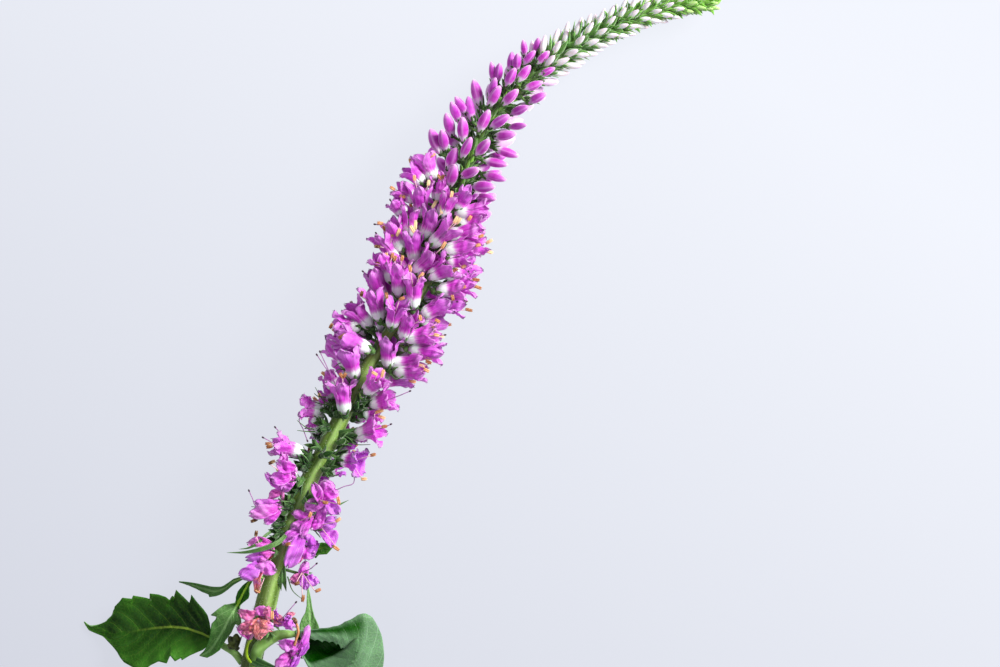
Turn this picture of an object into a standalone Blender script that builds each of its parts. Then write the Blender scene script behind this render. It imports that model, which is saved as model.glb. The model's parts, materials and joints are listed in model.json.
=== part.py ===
"""A cut veronica flower lying on a surface: stem, leaves and one long curved flower spike.

Metres, +Z up. The flower lies in the XY plane with its cut end at -Y and its tip at +X +Y.
The origin is the middle of the bottom of its box, on the surface that it rests on.

The flower was measured on a picture of it. Places in the tables below are steps to the right and
steps down from the picture's top left corner. One step is PICTURE_STEP.
"""

import bisect
import math
import random
from collections import namedtuple

import bmesh
import bpy
from mathutils import Matrix, Vector

MM = 0.001
PICTURE_STEP = 0.2 * MM
PICTURE_LEFT = -80.4 * MM
PICTURE_TOP = 90.8 * MM
GAP = 0.3 * MM
SEED = 11

# The stem's centre line from the cut end to the tip of the spike: right, down, height and radius in mm.
AXIS_POINTS = [
    (213, 917, 2.0, 1.9),
    (232, 800, 4.0, 1.9),
    (250, 679, 6.0, 2.0),
    (266, 601, 7.2, 1.85),
    (277, 560, 7.9, 1.8),
    (290, 520, 8.5, 1.75),
    (309, 480, 9.0, 1.75),
    (330, 440, 9.4, 1.7),
    (350, 400, 9.7, 1.55),
    (371, 361, 9.9, 1.4),
    (392, 330, 9.9, 1.3),
    (416, 299, 9.9, 1.2),
    (434, 267, 9.7, 1.2),
    (447, 235, 9.5, 1.15),
    (457, 203, 9.2, 1.1),
    (466, 168, 8.8, 1.1),
    (480, 138, 8.3, 1.05),
    (496, 111, 7.8, 1.0),
    (520, 86, 7.3, 0.95),
    (545, 64, 6.8, 0.9),
    (571, 47, 6.4, 0.85),
    (600, 31, 6.0, 0.75),
    (640, 13, 5.7, 0.65),
    (680, 4, 5.5, 0.5),
    (716, 0, 5.4, 0.3),
]
STEM_LENGTH = 56.5 * MM
AXIS_STEP = 4.2 * MM
AXIS_ROUNDNESS = 1
SHARP_ANGLE = math.radians(40)

# Where the zones of the spike begin, measured up the spike from the top of the stem.
OPEN_FROM = 44 * MM
BUDS_FROM = 93 * MM
WHITE_FROM = 129 * MM
TIP_FROM = 160 * MM
GOLDEN_ANGLE = math.radians(137.508)
ANGLE_JITTER = math.radians(7)

# How the flowers change up the spike: distance, flowers per mm, stalk, length, width, lean in degrees.
Growth = namedtuple("Growth", "density stalk length width lean")
GROWTH = [
    (44, Growth(1.7, 2.2, 7.0, 4.4, 74)),
    (86, Growth(1.9, 2.2, 6.8, 4.0, 70)),
    (93, Growth(2.3, 2.2, 5.6, 2.6, 66)),
    (106, Growth(2.6, 2.1, 5.1, 2.3, 62)),
    (118, Growth(2.7, 1.8, 4.7, 2.1, 54)),
    (129, Growth(2.8, 1.4, 3.6, 1.6, 48)),
    (142, Growth(2.8, 1.1, 3.0, 1.3, 42)),
    (155, Growth(2.8, 1.0, 2.8, 1.2, 38)),
    (162, Growth(3.0, 0.7, 2.5, 1.05, 30)),
    (168, Growth(3.2, 0.3, 2.3, 0.95, 18)),
]
UPWARD_PULL = 0.30
LEAN_JITTER = 6
SIZE_JITTER = 0.06

# The open flowers of the upper side, one by one: where the tube starts, where the petals end,
# rise above level in degrees, and width in mm.
SEEN_FLOWERS = [
    (272, 620, 293, 617, 26, 4.4),
    (258, 616, 243, 610, 20, 3.0),
    (263, 620, 267, 608, 45, 4.0),
    (254, 624, 243, 637, 16, 3.4),
    (264, 622, 267, 633, 50, 4.8),
    (270, 568, 259, 589, 8, 2.8),
    (272, 552, 252, 548, 10, 4.6),
    (269, 557, 247, 569, 18, 5.2),
    (267, 556, 267, 571, 36, 4.6),
    (299, 570, 307, 577, 52, 5.8),
    (296, 536, 289, 556, 42, 5.8),
    (304, 539, 309, 552, 50, 5.2),
    (300, 530, 303, 516, 52, 5.4),
    (314, 529, 329, 523, 46, 7.0),
    (284, 508, 256, 509, 8, 5.8),
    (298, 478, 279, 472, 24, 7.6),
    (318, 504, 325, 495, 60, 7.4),
    (304, 453, 273, 441, 12, 4.2),
    (341, 459, 367, 463, 18, 6.2),
    (323, 409, 299, 406, 4, 4.4),
    (355, 436, 384, 425, 14, 6.6),
    (346, 413, 342, 378, 16, 4.8),
    (370, 406, 397, 396, 12, 6.6),
    (366, 392, 384, 373, 30, 4.6),
    (356, 378, 348, 343, 18, 6.6),
    (371, 350, 338, 334, 14, 4.8),
    (394, 372, 428, 370, 12, 4.8),
    (388, 367, 390, 333, 22, 4.6),
    (361, 327, 331, 325, 4, 4.4),
    (371, 327, 349, 302, 14, 4.4),
    (409, 349, 445, 353, 4, 4.2),
    (405, 338, 438, 333, 10, 4.6),
    (403, 339, 414, 311, 28, 3.6),
    (392, 327, 400, 299, 30, 4.2),
    (380, 320, 372, 286, 24, 4.2),
    (384, 303, 371, 268, 8, 4.6),
    (421, 316, 452, 300, 8, 5.0),
    (400, 297, 398, 260, 18, 4.4),
    (413, 309, 417, 273, 18, 4.0),
    (437, 291, 468, 287, 4, 5.0),
    (429, 278, 457, 263, 14, 4.8),
    (414, 273, 440, 252, 24, 4.0),
    (394, 283, 379, 251, 8, 4.2),
    (446, 262, 471, 258, 0, 4.2),
    (443, 252, 478, 243, 4, 4.6),
    (431, 246, 459, 222, 20, 4.6),
    (415, 262, 412, 226, 20, 4.6),
    (396, 262, 379, 231, 6, 4.4),
    (402, 252, 390, 217, 14, 4.2),
    (409, 238, 411, 203, 18, 3.6),
    (424, 239, 438, 205, 20, 4.8),
    (448, 236, 482, 230, 2, 4.4),
    (457, 226, 485, 222, 6, 3.8),
    (404, 215, 393, 199, 6, 3.8),
    (421, 217, 420, 181, 20, 5.0),
    (441, 217, 454, 192, 26, 4.2),
    (455, 213, 489, 213, 4, 3.4),
    (416, 200, 395, 187, 4, 4.0),
    (438, 201, 441, 175, 24, 3.6),
    (457, 210, 471, 189, 20, 3.4),
    (424, 184, 406, 166, 6, 4.0),
    (434, 181, 421, 150, 12, 5.0),
]
TUBE_STANDS_OFF = 2.2 * MM
FAR_STALK_RISE = 0.15

# The flowers of the underside follow the golden angle. They are lifted clear of the surface.
HIDDEN_BELOW = 0.16
LOOSE_HIDDEN_BELOW = -0.6
LOOSE_HIDDEN_FROM = 18 * MM
FLOOR_CLEARANCE = -0.4 * MM
FLARE_MARGIN = 0.5

# An open flower, as shares of its length and of its width.
CALYX_AT = 0.14
CALYX_SHARE = 0.25
NOTCH_AT = 0.64
NOTCH_SHARE = 0.38
THROAT_AT = 0.45
PETALS = 4
WHITE_BUD_SIDES = 3
BUD_RINGS = [(0.12, 0.70), (0.55, 1.0)]
WHITE_BUD_RINGS = [(0.45, 1.0)]

# Narrow bracts: root, tip, rise in degrees, width in mm.
BRACTS = [
    (288, 532, 229, 551, 12, 1.4),
    (272, 530, 242, 547, 10, 1.0),
    (331, 545, 348, 501, 20, 1.2),
    (306, 448, 288, 457, 12, 1.4),
    (331, 436, 356, 428, 20, 1.6),
    (342, 426, 347, 411, 30, 1.4),
    (327, 463, 346, 467, 14, 1.4),
    (284, 560, 281, 591, 4, 1.6),
    (290, 556, 286, 592, 0, 1.7),
]
BRACT_THICKNESS = 0.7 * MM
BRACT_MIDDLE = 0.45

# The small spray beside the right leaf: its stalk as right, down, height, then its flowers.
SPRAY_STALK = [(289, 646, 7.8), (292, 650, 8.1), (296, 655, 8.2)]
SPRAY_RADIUS = 0.5 * MM
SPRAY_ROOT_DEPTH = 0.3 * MM
SPRAY_SPIN = 1.3
SPRAY_FLOWERS = [
    (296, 655, 302, 637, 36, 4.2),
    (295, 653, 281, 643, 24, 4.0),
    (295, 656, 279, 668, 20, 5.2),
]
AXIL_STALK = [(238, 650, 8.2), (235, 647, 8.4)]
AXIL_BUDS = [
    (235, 647, 229, 636, 20, 1.6),
    (235, 647, 237, 633, 30, 1.7),
    (235, 648, 227, 645, 24, 1.4),
]

# Outlines of a half blade, as share of its length and half width.
OVATE = [
    (0.0, 0.05), (0.05, 0.50), (0.14, 0.84), (0.28, 1.0), (0.5, 0.98),
    (0.69, 0.86), (0.77, 0.55), (0.86, 0.22), (1.0, 0.03),
]
LANCE = [(0.0, 0.12), (0.2, 0.6), (0.45, 1.0), (0.7, 0.74), (0.9, 0.28), (1.0, 0.05)]
WEDGE = [(0.0, 1.0), (0.2, 0.95), (0.45, 0.5), (0.7, 0.28), (1.0, 0.06)]
PINCHED = [
    (0.0, 0.14), (0.15, 0.45), (0.3, 0.52), (0.42, 0.45), (0.48, 0.16),
    (0.52, 0.4), (0.6, 1.0), (0.75, 0.84), (0.9, 0.5), (1.0, 0.08),
]

# A leaf: its midrib outwards from the stem as right, down, height, and its half widths in mm. How far
# each half bends upwards, and the roll of the blade, are in degrees at its base and at its tip.
Leaf = namedtuple(
    "Leaf",
    "name slot midrib outline left right bend_left bend_right roll teeth depth stalk columns",
)
LEAVES = [
    Leaf(
        "leaf_large_left", "leaf_dark",
        [(236, 669, 5.6), (233, 656, 6.0), (221, 646, 6.2), (208, 638, 6.4), (180, 629, 5.6),
         (147, 631, 3.6), (112, 637, 1.5), (82, 632, 0.35)],
        OVATE, 7.3, 7.6, (24, 12), (30, 14), (0, 0), 8, 0.26, 0.22, 4,
    ),
    Leaf(
        "leaf_large_right", "leaf_dark",
        [(271, 651, 6.0), (279, 639, 6.4), (290, 634, 6.8), (304, 634, 7.0), (324, 633, 6.5),
         (344, 629, 5.8), (361, 633, 4.8), (371, 648, 3.6), (375, 668, 2.2), (373, 698, 0.5)],
        OVATE, 8.8, 7.6, (110, 150), (20, 150), (26, 30), 8, 0.20, 0.24, 6,
    ),
    Leaf(
        "leaf_toothed_left", "leaf_light",
        [(262, 579, 9.2), (253, 579, 9.3), (245, 588, 9.4), (238, 602, 9.5), (229, 618, 9.6),
         (218, 636, 9.2), (203, 657, 8.4)],
        PINCHED, 2.7, 3.1, (30, 20), (36, 20), (-20, 20), 6, 0.24, 0.06, 4,
    ),
    Leaf(
        "leaf_narrow_left", "leaf_light",
        [(260, 572, 6.8), (243, 579, 6.2), (226, 590, 5.0), (208, 592, 4.2), (176, 584, 3.2)],
        LANCE, 1.1, 1.5, (20, 20), (26, 20), (10, 16), 3, 0.22, 0.16, 2,
    ),
    Leaf(
        "leaf_upright_right", "leaf_light",
        [(269, 637, 5.0), (284, 636, 4.0), (299, 634, 3.2), (308, 624, 3.0), (309, 610, 3.0),
         (308, 590, 3.0)],
        WEDGE, 1.7, 2.1, (30, 30), (30, 30), (0, 0), 3, 0.16, 0.46, 2,
    ),
    Leaf(
        "leaf_dark_right", "leaf_dark",
        [(290, 551, 6.6), (297, 551, 6.0), (304, 550, 5.6), (318, 550, 5.2), (335, 547, 4.8)],
        LANCE, 1.0, 2.0, (20, 20), (20, 20), (-8, 0), 3, 0.26, 0.3, 2,
    ),
]
BLADE_THICKNESS = 0.6 * MM
STALK_HALF_WIDTH = 0.7 * MM
STALK_ROWS = 4
TOOTH_LEAN = 0.7

COLOURS = {
    "stem_green": ((0.30, 0.44, 0.14, 1), 0.5),
    "floret_pink": ((0.62, 0.14, 0.60, 1), 0.5),
    "leaf_dark": ((0.05, 0.16, 0.04, 1), 0.4),
    "leaf_light": ((0.25, 0.42, 0.18, 1), 0.5),
}

Flower = namedtuple("Flower", "kind along root base direction spin length width")


def clear_scene():
    for obj in list(bpy.data.objects):
        bpy.data.objects.remove(obj)


def new_material(name):
    colour, roughness = COLOURS[name]
    material = bpy.data.materials.new(name)
    material.use_nodes = True
    shader = material.node_tree.nodes["Principled BSDF"]
    shader.inputs["Base Color"].default_value = colour
    shader.inputs["Roughness"].default_value = roughness
    shader.inputs["Metallic"].default_value = 0.0
    return material


def from_picture(right, down, height=0.0):
    """A point in metres from steps right and down in the picture and a height in mm."""
    x = PICTURE_LEFT + right * PICTURE_STEP
    y = PICTURE_TOP - down * PICTURE_STEP
    return Vector((x, y, height * MM))


def catmull_rom(points, share):
    """The point at share, 0 to 1, of a smooth curve through the points."""
    spans = len(points) - 1
    place = min(max(share, 0.0), 1.0) * spans
    i = min(int(place), spans - 1)
    t = place - i
    p1, p2 = points[i], points[i + 1]
    p0 = points[i - 1] if i > 0 else p1 * 2 - p2
    p3 = points[i + 2] if i + 2 <= spans else p2 * 2 - p1
    return (
        p1 * 2
        + (p2 - p0) * t
        + (p0 * 2 - p1 * 5 + p2 * 4 - p3) * t**2
        + (p1 * 3 - p0 - p2 * 3 + p3) * t**3
    ) / 2


def between(table, place):
    """The values at this place, from rows of a place and its values, a number or a list of them."""
    place = min(max(place, table[0][0]), table[-1][0])
    for low, high in zip(table, table[1:]):
        if place > high[0]:
            continue
        share = (place - low[0]) / (high[0] - low[0])
        if isinstance(low[1], tuple):
            return type(low[1])(*[a + (b - a) * share for a, b in zip(low[1], high[1])])
        return low[1] + (high[1] - low[1]) * share


class Axis:
    """The centre line of stem and spike, by distance from the cut end."""

    STEPS = 600

    def __init__(self):
        marks = [from_picture(*row[:3]) for row in AXIS_POINTS]
        self.points = [catmull_rom(marks, i / self.STEPS) for i in range(self.STEPS + 1)]
        self.at = [0.0]
        for a, b in zip(self.points, self.points[1:]):
            self.at.append(self.at[-1] + (b - a).length)
        self.length = self.at[-1]

    def place(self, distance):
        i = min(max(bisect.bisect(self.at, distance) - 1, 0), self.STEPS - 1)
        return i, (distance - self.at[i]) / (self.at[i + 1] - self.at[i])

    def point(self, distance):
        i, share = self.place(distance)
        return self.points[i].lerp(self.points[i + 1], share)

    def radius(self, distance):
        i, share = self.place(distance)
        spot = (i + share) / self.STEPS * (len(AXIS_POINTS) - 1)
        j = min(max(int(spot), 0), len(AXIS_POINTS) - 2)
        low, high = AXIS_POINTS[j][3], AXIS_POINTS[j + 1][3]
        return (low + (high - low) * (spot - j)) * MM

    def frame(self, distance):
        """The point there, the tangent, the direction to the right of it and the upward one."""
        step = 0.4 * MM
        tangent = (self.point(distance + step) - self.point(distance - step)).normalized()
        right = tangent.cross(Vector((0, 0, 1))).normalized()
        return self.point(distance), tangent, right, right.cross(tangent)

    def nearest(self, spot):
        """The distance of the point that lies nearest to spot in plan."""
        gaps = [(point.xy - spot.xy).length for point in self.points]
        return self.at[gaps.index(min(gaps))]


AXIS = Axis()


def rising(heading, rise):
    """The level direction heading, tilted up by rise in degrees."""
    tilt = math.radians(rise)
    level = Vector((heading.x, heading.y, 0)).normalized()
    return level * math.cos(tilt) + Vector((0, 0, math.sin(tilt)))


def above_floor(base, direction, length, width):
    """The direction, lifted until the lowest petal only touches the surface."""
    lowest = FLOOR_CLEARANCE + width / 2 * FLARE_MARGIN
    least = max(-0.98, min(0.98, (lowest - base.z) / length))
    if direction.z >= least:
        return direction
    level = Vector((direction.x, direction.y, 0)).normalized()
    return level * math.sqrt(1 - least**2) + Vector((0, 0, least))


def flower_in_picture(row, draw):
    """A flower from a row of SEEN_FLOWERS: its stalk rises to where its tube stands off the axis."""
    start, end = from_picture(*row[:2]), from_picture(*row[2:4])
    rise, width = row[4], row[5] * MM
    distance = AXIS.nearest(start)
    point = AXIS.point(distance)
    offset = (start.xy - point.xy).length
    stand = AXIS.radius(distance) + TUBE_STANDS_OFF
    height = math.sqrt(max(stand**2 - offset**2, (FAR_STALK_RISE * offset) ** 2))
    base = Vector((start.x, start.y, point.z + height))
    length = (end - start).xy.length / math.cos(math.radians(rise))
    direction = above_floor(base, rising(end - start, rise), length, width)
    along = distance - STEM_LENGTH
    return Flower("open", along, point, base, direction, draw.uniform(0, math.tau), length, width)


def ruled_flower(kind, along, turn, grown, draw):
    """A flower at this angle round the axis, which leans out and is pulled a little towards +Y."""
    point, tangent, right, up = AXIS.frame(STEM_LENGTH + along)
    around = turn + draw.uniform(-1, 1) * ANGLE_JITTER
    radial = right * math.cos(around) + up * math.sin(around)
    lean = math.radians(grown.lean + draw.uniform(-1, 1) * LEAN_JITTER)
    pull = Vector((0, UPWARD_PULL * min(1.0, grown.width / 2.6), 0))
    direction = (tangent * math.cos(lean) + radial * math.sin(lean) + pull).normalized()
    size = (1 + draw.uniform(-1, 1) * SIZE_JITTER) * MM
    base = point + radial * (AXIS.radius(STEM_LENGTH + along) + grown.stalk * MM)
    length, width = grown.length * size, grown.width * size
    direction = above_floor(base, direction, length, width)
    spin = draw.uniform(0, math.tau)
    return Flower(kind, along, point, base, direction, spin, length, width), math.sin(around)


def kind_at(along):
    if along < BUDS_FROM:
        return "open"
    if along < WHITE_FROM:
        return "bud"
    return "white" if along < TIP_FROM else "tip"


def spike_flowers():
    """All flowers and buds of the spike: those seen one by one, the others by the golden angle."""
    draw = random.Random(SEED)
    found = [flower_in_picture(row, draw) for row in SEEN_FLOWERS]
    along, turn = LOOSE_HIDDEN_FROM, 0.0
    end = AXIS.length - STEM_LENGTH - 0.6 * MM
    while along < end:
        grown = between(GROWTH, along / MM)
        kind = kind_at(along)
        flower, height = ruled_flower(kind, along, turn, grown, draw)
        if kind != "open" or height < (HIDDEN_BELOW if along >= OPEN_FROM else LOOSE_HIDDEN_BELOW):
            found.append(flower)
        along += MM / grown.density
        turn += GOLDEN_ANGLE
    return found


def loft(rings, start, end):
    """A closed mesh from the point start through rings of points to the point end.

    A ring has as many points as the ring before it, or twice as many.
    """
    mesh = bmesh.new()
    first, last = mesh.verts.new(start), mesh.verts.new(end)
    made = [[mesh.verts.new(point) for point in ring] for ring in rings]
    for i, vert in enumerate(made[0]):
        mesh.faces.new((first, made[0][(i + 1) % len(made[0])], vert))
    for low, high in zip(made, made[1:]):
        ratio = len(high) // len(low)
        for i, vert in enumerate(low):
            after = low[(i + 1) % len(low)]
            here = [high[(i * ratio + k) % len(high)] for k in range(ratio + 1)]
            if ratio == 1:
                mesh.faces.new((vert, after, here[1], here[0]))
                continue
            mesh.faces.new((vert, here[1], here[0]))
            mesh.faces.new((vert, after, here[1]))
            mesh.faces.new((after, here[2], here[1]))
    for i, vert in enumerate(made[-1]):
        mesh.faces.new((vert, made[-1][(i + 1) % len(made[-1])], last))
    bmesh.ops.triangulate(mesh, faces=mesh.faces[:])
    bmesh.ops.recalc_face_normals(mesh, faces=mesh.faces[:])
    return mesh


def mesh_object(name, mesh, collection):
    data = bpy.data.meshes.new(name)
    mesh.to_mesh(data)
    mesh.free()
    obj = bpy.data.objects.new(name, data)
    collection.objects.link(obj)
    return obj


def ring_round(flower, height, share, shift, count=PETALS):
    """A ring of points round the flower, at shares of its length and width, turned by shift of a step."""
    frame = flower.direction.to_track_quat("Z", "Y").to_matrix()
    centre = flower.base + flower.direction * flower.length * height
    points = []
    for i in range(count):
        turn = flower.spin + math.tau / count * (i + shift)
        outward = frame @ Vector((math.cos(turn), math.sin(turn), 0))
        points.append(centre + outward * flower.width / 2 * share)
    return points


def open_flower_mesh(flower):
    """A bell of four petals: the calyx, then petal tips between notches, with a sunken throat."""
    calyx = ring_round(flower, CALYX_AT, CALYX_SHARE * 2, 0)
    tips = ring_round(flower, 1.0, 1.0, 0)
    notches = ring_round(flower, NOTCH_AT, NOTCH_SHARE * 2, 0.5)
    rim = [point for pair in zip(tips, notches) for point in pair]
    return loft([calyx, rim], flower.root, flower.base + flower.direction * flower.length * THROAT_AT)


def bud_mesh(flower, rings, sides):
    made = [ring_round(flower, height, share, 0, sides) for height, share in rings]
    return loft(made, flower.root, flower.base + flower.direction * flower.length)


def green_bud_mesh(flower):
    return bud_mesh(flower, BUD_RINGS, PETALS)


def flower_mesh(flower):
    if flower.kind == "open":
        return open_flower_mesh(flower)
    if flower.kind == "bud":
        return bud_mesh(flower, BUD_RINGS, PETALS)
    return bud_mesh(flower, WHITE_BUD_RINGS, WHITE_BUD_SIDES)


def bract_mesh(row):
    """A narrow three-sided blade that springs from the axis."""
    start, end = from_picture(*row[:2]), from_picture(*row[2:4])
    root = AXIS.point(AXIS.nearest(start))
    rise, width = math.radians(row[4]), row[5] * MM
    tip = Vector((end.x, end.y, root.z + (end.xy - root.xy).length * math.tan(rise)))
    direction = (tip - root).normalized()
    side = direction.cross(Vector((0, 0, 1))).normalized() * width / 2
    lift = side.cross(direction).normalized() * BRACT_THICKNESS
    middle = root.lerp(tip, BRACT_MIDDLE) - lift / 3
    return loft([[middle + side, middle + lift, middle - side]], root, tip)


def tube(name, points, radii, collection):
    """A tapering tube through the points, closed at both ends."""
    curve = bpy.data.curves.new(name, "CURVE")
    curve.dimensions = "3D"
    curve.bevel_depth = 1.0
    curve.bevel_resolution = AXIS_ROUNDNESS
    curve.use_fill_caps = True
    spline = curve.splines.new("POLY")
    spline.points.add(len(points) - 1)
    for place, point, radius in zip(spline.points, points, radii):
        place.co = (*point, 1.0)
        place.radius = radius
    guide = bpy.data.objects.new(name, curve)
    collection.objects.link(guide)
    graph = bpy.context.evaluated_depsgraph_get()
    mesh = bmesh.new()
    mesh.from_mesh(bpy.data.meshes.new_from_object(guide.evaluated_get(graph)))
    bpy.data.objects.remove(guide)
    bmesh.ops.remove_doubles(mesh, verts=mesh.verts[:], dist=0.01 * MM)
    bmesh.ops.recalc_face_normals(mesh, faces=mesh.faces[:])
    return mesh_object(name, mesh, collection)


def axis_tube(name, start, end, collection):
    count = max(4, round((end - start) / AXIS_STEP))
    places = [start + (end - start) * i / count for i in range(count + 1)]
    points = [AXIS.point(place) for place in places]
    radii = [AXIS.radius(place) for place in places]
    return tube(name, points, radii, collection)


def shade_round(obj):
    """Smooth shading, with a sharp edge wherever two faces meet at a steep angle."""
    obj.data.shade_smooth()
    obj.data.set_sharp_from_angle(angle=SHARP_ANGLE)


def apply_modifiers(obj):
    bpy.context.view_layer.update()
    graph = bpy.context.evaluated_depsgraph_get()
    data = bpy.data.meshes.new_from_object(obj.evaluated_get(graph))
    obj.modifiers.clear()
    obj.data = data


def fuse(obj, pieces):
    """Joins every object of the collection pieces to obj, and removes them."""
    union = obj.modifiers.new("join", "BOOLEAN")
    union.operation = "UNION"
    union.solver = "MANIFOLD"
    union.operand_type = "COLLECTION"
    union.collection = pieces
    apply_modifiers(obj)
    for piece in list(pieces.objects):
        bpy.data.objects.remove(piece)


def cut_at_floor(obj):
    """Presses flat whatever reaches below the surface."""
    bpy.ops.mesh.primitive_cube_add(size=0.4, location=(0, 0, -0.2))
    floor = bpy.context.object
    cut = obj.modifiers.new("floor", "BOOLEAN")
    cut.operation = "DIFFERENCE"
    cut.solver = "MANIFOLD"
    cut.object = floor
    apply_modifiers(obj)
    bpy.data.objects.remove(floor)


def stem(collection):
    return axis_tube("stem", 0.0, STEM_LENGTH - GAP / 2, collection)


def flower_spike(collection, pieces):
    obj = axis_tube("flower_spike", STEM_LENGTH + GAP / 2, AXIS.length, collection)
    for i, flower in enumerate(spike_flowers()):
        mesh_object(f"flower_{i}", flower_mesh(flower), pieces)
    for i, row in enumerate(BRACTS):
        mesh_object(f"bract_{i}", bract_mesh(row), pieces)
    fuse(obj, pieces)
    cut_at_floor(obj)
    return obj


def small_spray(name, stalk, rows, make, collection, pieces):
    """A short stalk with a few flowers or buds at its end."""
    points = [from_picture(*row) for row in stalk]
    obj = tube(name, points, [SPRAY_RADIUS] * len(points), collection)
    for i, row in enumerate(rows):
        end = from_picture(*row[2:4])
        base = points[-1]
        length = (end - base).xy.length / math.cos(math.radians(row[4]))
        direction = rising(end - base, row[4])
        root = base - direction * SPRAY_ROOT_DEPTH
        spin = i * SPRAY_SPIN
        flower = Flower("spray", 0, root, base, direction, spin, length, row[5] * MM)
        mesh_object(f"{name}_{i}", make(flower), pieces)
    fuse(obj, pieces)
    return obj


def side_spray(collection, pieces):
    return small_spray("side_spray", SPRAY_STALK, SPRAY_FLOWERS, open_flower_mesh, collection, pieces)


def axil_buds(collection, pieces):
    return small_spray("axil_buds", AXIL_STALK, AXIL_BUDS, green_bud_mesh, collection, pieces)


def blade_point(leaf, midrib, share, across, row):
    """The blade's point at this share of the midrib, across from -1 at its right to 1 at its left."""
    centre = catmull_rom(midrib, share)
    step = 0.01
    tangent = (catmull_rom(midrib, share + step) - catmull_rom(midrib, share - step)).normalized()
    left = Vector((0, 0, 1)).cross(tangent).normalized()
    roll = math.radians(leaf.roll[0] + (leaf.roll[1] - leaf.roll[0]) * share)
    left = Matrix.Rotation(roll, 3, tangent) @ left
    up = tangent.cross(left)
    half, bend = (leaf.left, leaf.bend_left) if across > 0 else (leaf.right, leaf.bend_right)
    bend = bend[0] + (bend[1] - bend[0]) * share
    blade_share = (share - leaf.stalk) / (1 - leaf.stalk)
    grown = between(leaf.outline, blade_share) if blade_share >= 0 and row >= 0 else 0.0
    reach = half * MM * grown
    forward = 0.0
    if abs(across) > 0.99 and row > 0:
        sign = 1 if row % 2 else -1
        reach *= 1 + sign * leaf.depth / 2
        forward = sign * reach * leaf.depth * TOOTH_LEAN
    narrowest = STALK_HALF_WIDTH if blade_share < 0.5 else STALK_HALF_WIDTH * 0.5
    reach = max(reach, narrowest)
    turn = math.radians(bend) * min(1.0, reach / (half * MM))
    spread = math.sin(turn * abs(across)) / turn * reach
    lift = (1 - math.cos(turn * abs(across))) / turn * reach
    side = 1 if across > 0 else -1
    return centre + left * side * spread + up * lift + tangent * forward


def leaf_object(leaf, collection):
    """A toothed blade bent along its midrib and thickened to a solid."""
    midrib = [from_picture(*row) for row in leaf.midrib]
    stalk_rows = STALK_ROWS if leaf.stalk else 0
    rows = stalk_rows + leaf.teeth * 2
    mesh = bmesh.new()
    bmesh.ops.create_grid(mesh, x_segments=rows, y_segments=leaf.columns, size=0.5)
    for vert in mesh.verts:
        row = round((vert.co.x + 0.5) * rows) - stalk_rows
        share = leaf.stalk + (1 - leaf.stalk) * row / (rows - stalk_rows)
        if row < 0:
            share = leaf.stalk * (row + stalk_rows) / stalk_rows
        vert.co = blade_point(leaf, midrib, share, vert.co.y * 2, row)
    bmesh.ops.triangulate(mesh, faces=mesh.faces[:])
    obj = mesh_object(leaf.name, mesh, collection)
    solid = obj.modifiers.new("thickness", "SOLIDIFY")
    solid.thickness = BLADE_THICKNESS
    solid.offset = 0
    apply_modifiers(obj)
    return obj


def main():
    clear_scene()
    scene = bpy.context.scene.collection
    flower = bpy.data.collections.new("veronica_flower")
    scene.children.link(flower)
    pieces = bpy.data.collections.new("pieces")
    scene.children.link(pieces)
    materials = {name: new_material(name) for name in COLOURS}
    made = [
        ("stem_green", stem(flower)),
        ("floret_pink", flower_spike(flower, pieces)),
        ("floret_pink", side_spray(flower, pieces)),
        ("leaf_light", axil_buds(flower, pieces)),
    ]
    made += [(leaf.slot, leaf_object(leaf, flower)) for leaf in LEAVES]
    middle = bpy.data.objects.new("flower_middle", None)
    flower.objects.link(middle)
    for slot, obj in made:
        obj.parent = middle
        obj.data.materials.clear()
        obj.data.materials.append(materials[slot])
        shade_round(obj)
    bpy.data.collections.remove(pieces)


main()
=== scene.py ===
"""The looks of a cut veronica flower that lies on a pale surface.

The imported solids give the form. Each piece made here stands for one or more of them, with thin petals,
stamens, veins, hairs and colour. Places in the tables are steps to the right and steps down from the
picture's top left corner, and one step is PICTURE_STEP, as in the part's own source.
"""

import bisect
import json
import math
import random
from collections import namedtuple

import bpy
import numpy as np
from mathutils import Matrix, Vector

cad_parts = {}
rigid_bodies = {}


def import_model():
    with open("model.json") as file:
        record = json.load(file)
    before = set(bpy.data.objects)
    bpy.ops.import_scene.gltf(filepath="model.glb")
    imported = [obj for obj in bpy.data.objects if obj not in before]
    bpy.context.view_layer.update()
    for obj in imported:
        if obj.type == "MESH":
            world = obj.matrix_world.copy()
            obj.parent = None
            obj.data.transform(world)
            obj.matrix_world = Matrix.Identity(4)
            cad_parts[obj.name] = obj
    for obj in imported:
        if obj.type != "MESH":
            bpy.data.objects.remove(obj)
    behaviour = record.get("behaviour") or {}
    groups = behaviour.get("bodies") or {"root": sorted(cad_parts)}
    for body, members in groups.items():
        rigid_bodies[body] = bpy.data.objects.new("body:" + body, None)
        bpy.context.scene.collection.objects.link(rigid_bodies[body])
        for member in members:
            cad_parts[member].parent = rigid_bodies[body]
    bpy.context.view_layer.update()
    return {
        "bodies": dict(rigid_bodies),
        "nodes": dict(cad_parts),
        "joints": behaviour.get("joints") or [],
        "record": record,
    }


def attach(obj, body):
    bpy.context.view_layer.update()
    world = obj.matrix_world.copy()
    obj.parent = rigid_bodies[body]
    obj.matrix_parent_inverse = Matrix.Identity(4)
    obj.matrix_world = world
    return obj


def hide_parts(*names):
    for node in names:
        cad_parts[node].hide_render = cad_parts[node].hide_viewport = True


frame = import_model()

MM = 0.001
PICTURE_STEP = 0.2 * MM
PICTURE_LEFT = -80.4 * MM
PICTURE_TOP = 90.8 * MM
PICTURE_SIZE = (1000, 667)
FLOOR_GAP = 0.05 * MM
SEED = 11
LOOKS_SEED = 5

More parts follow.
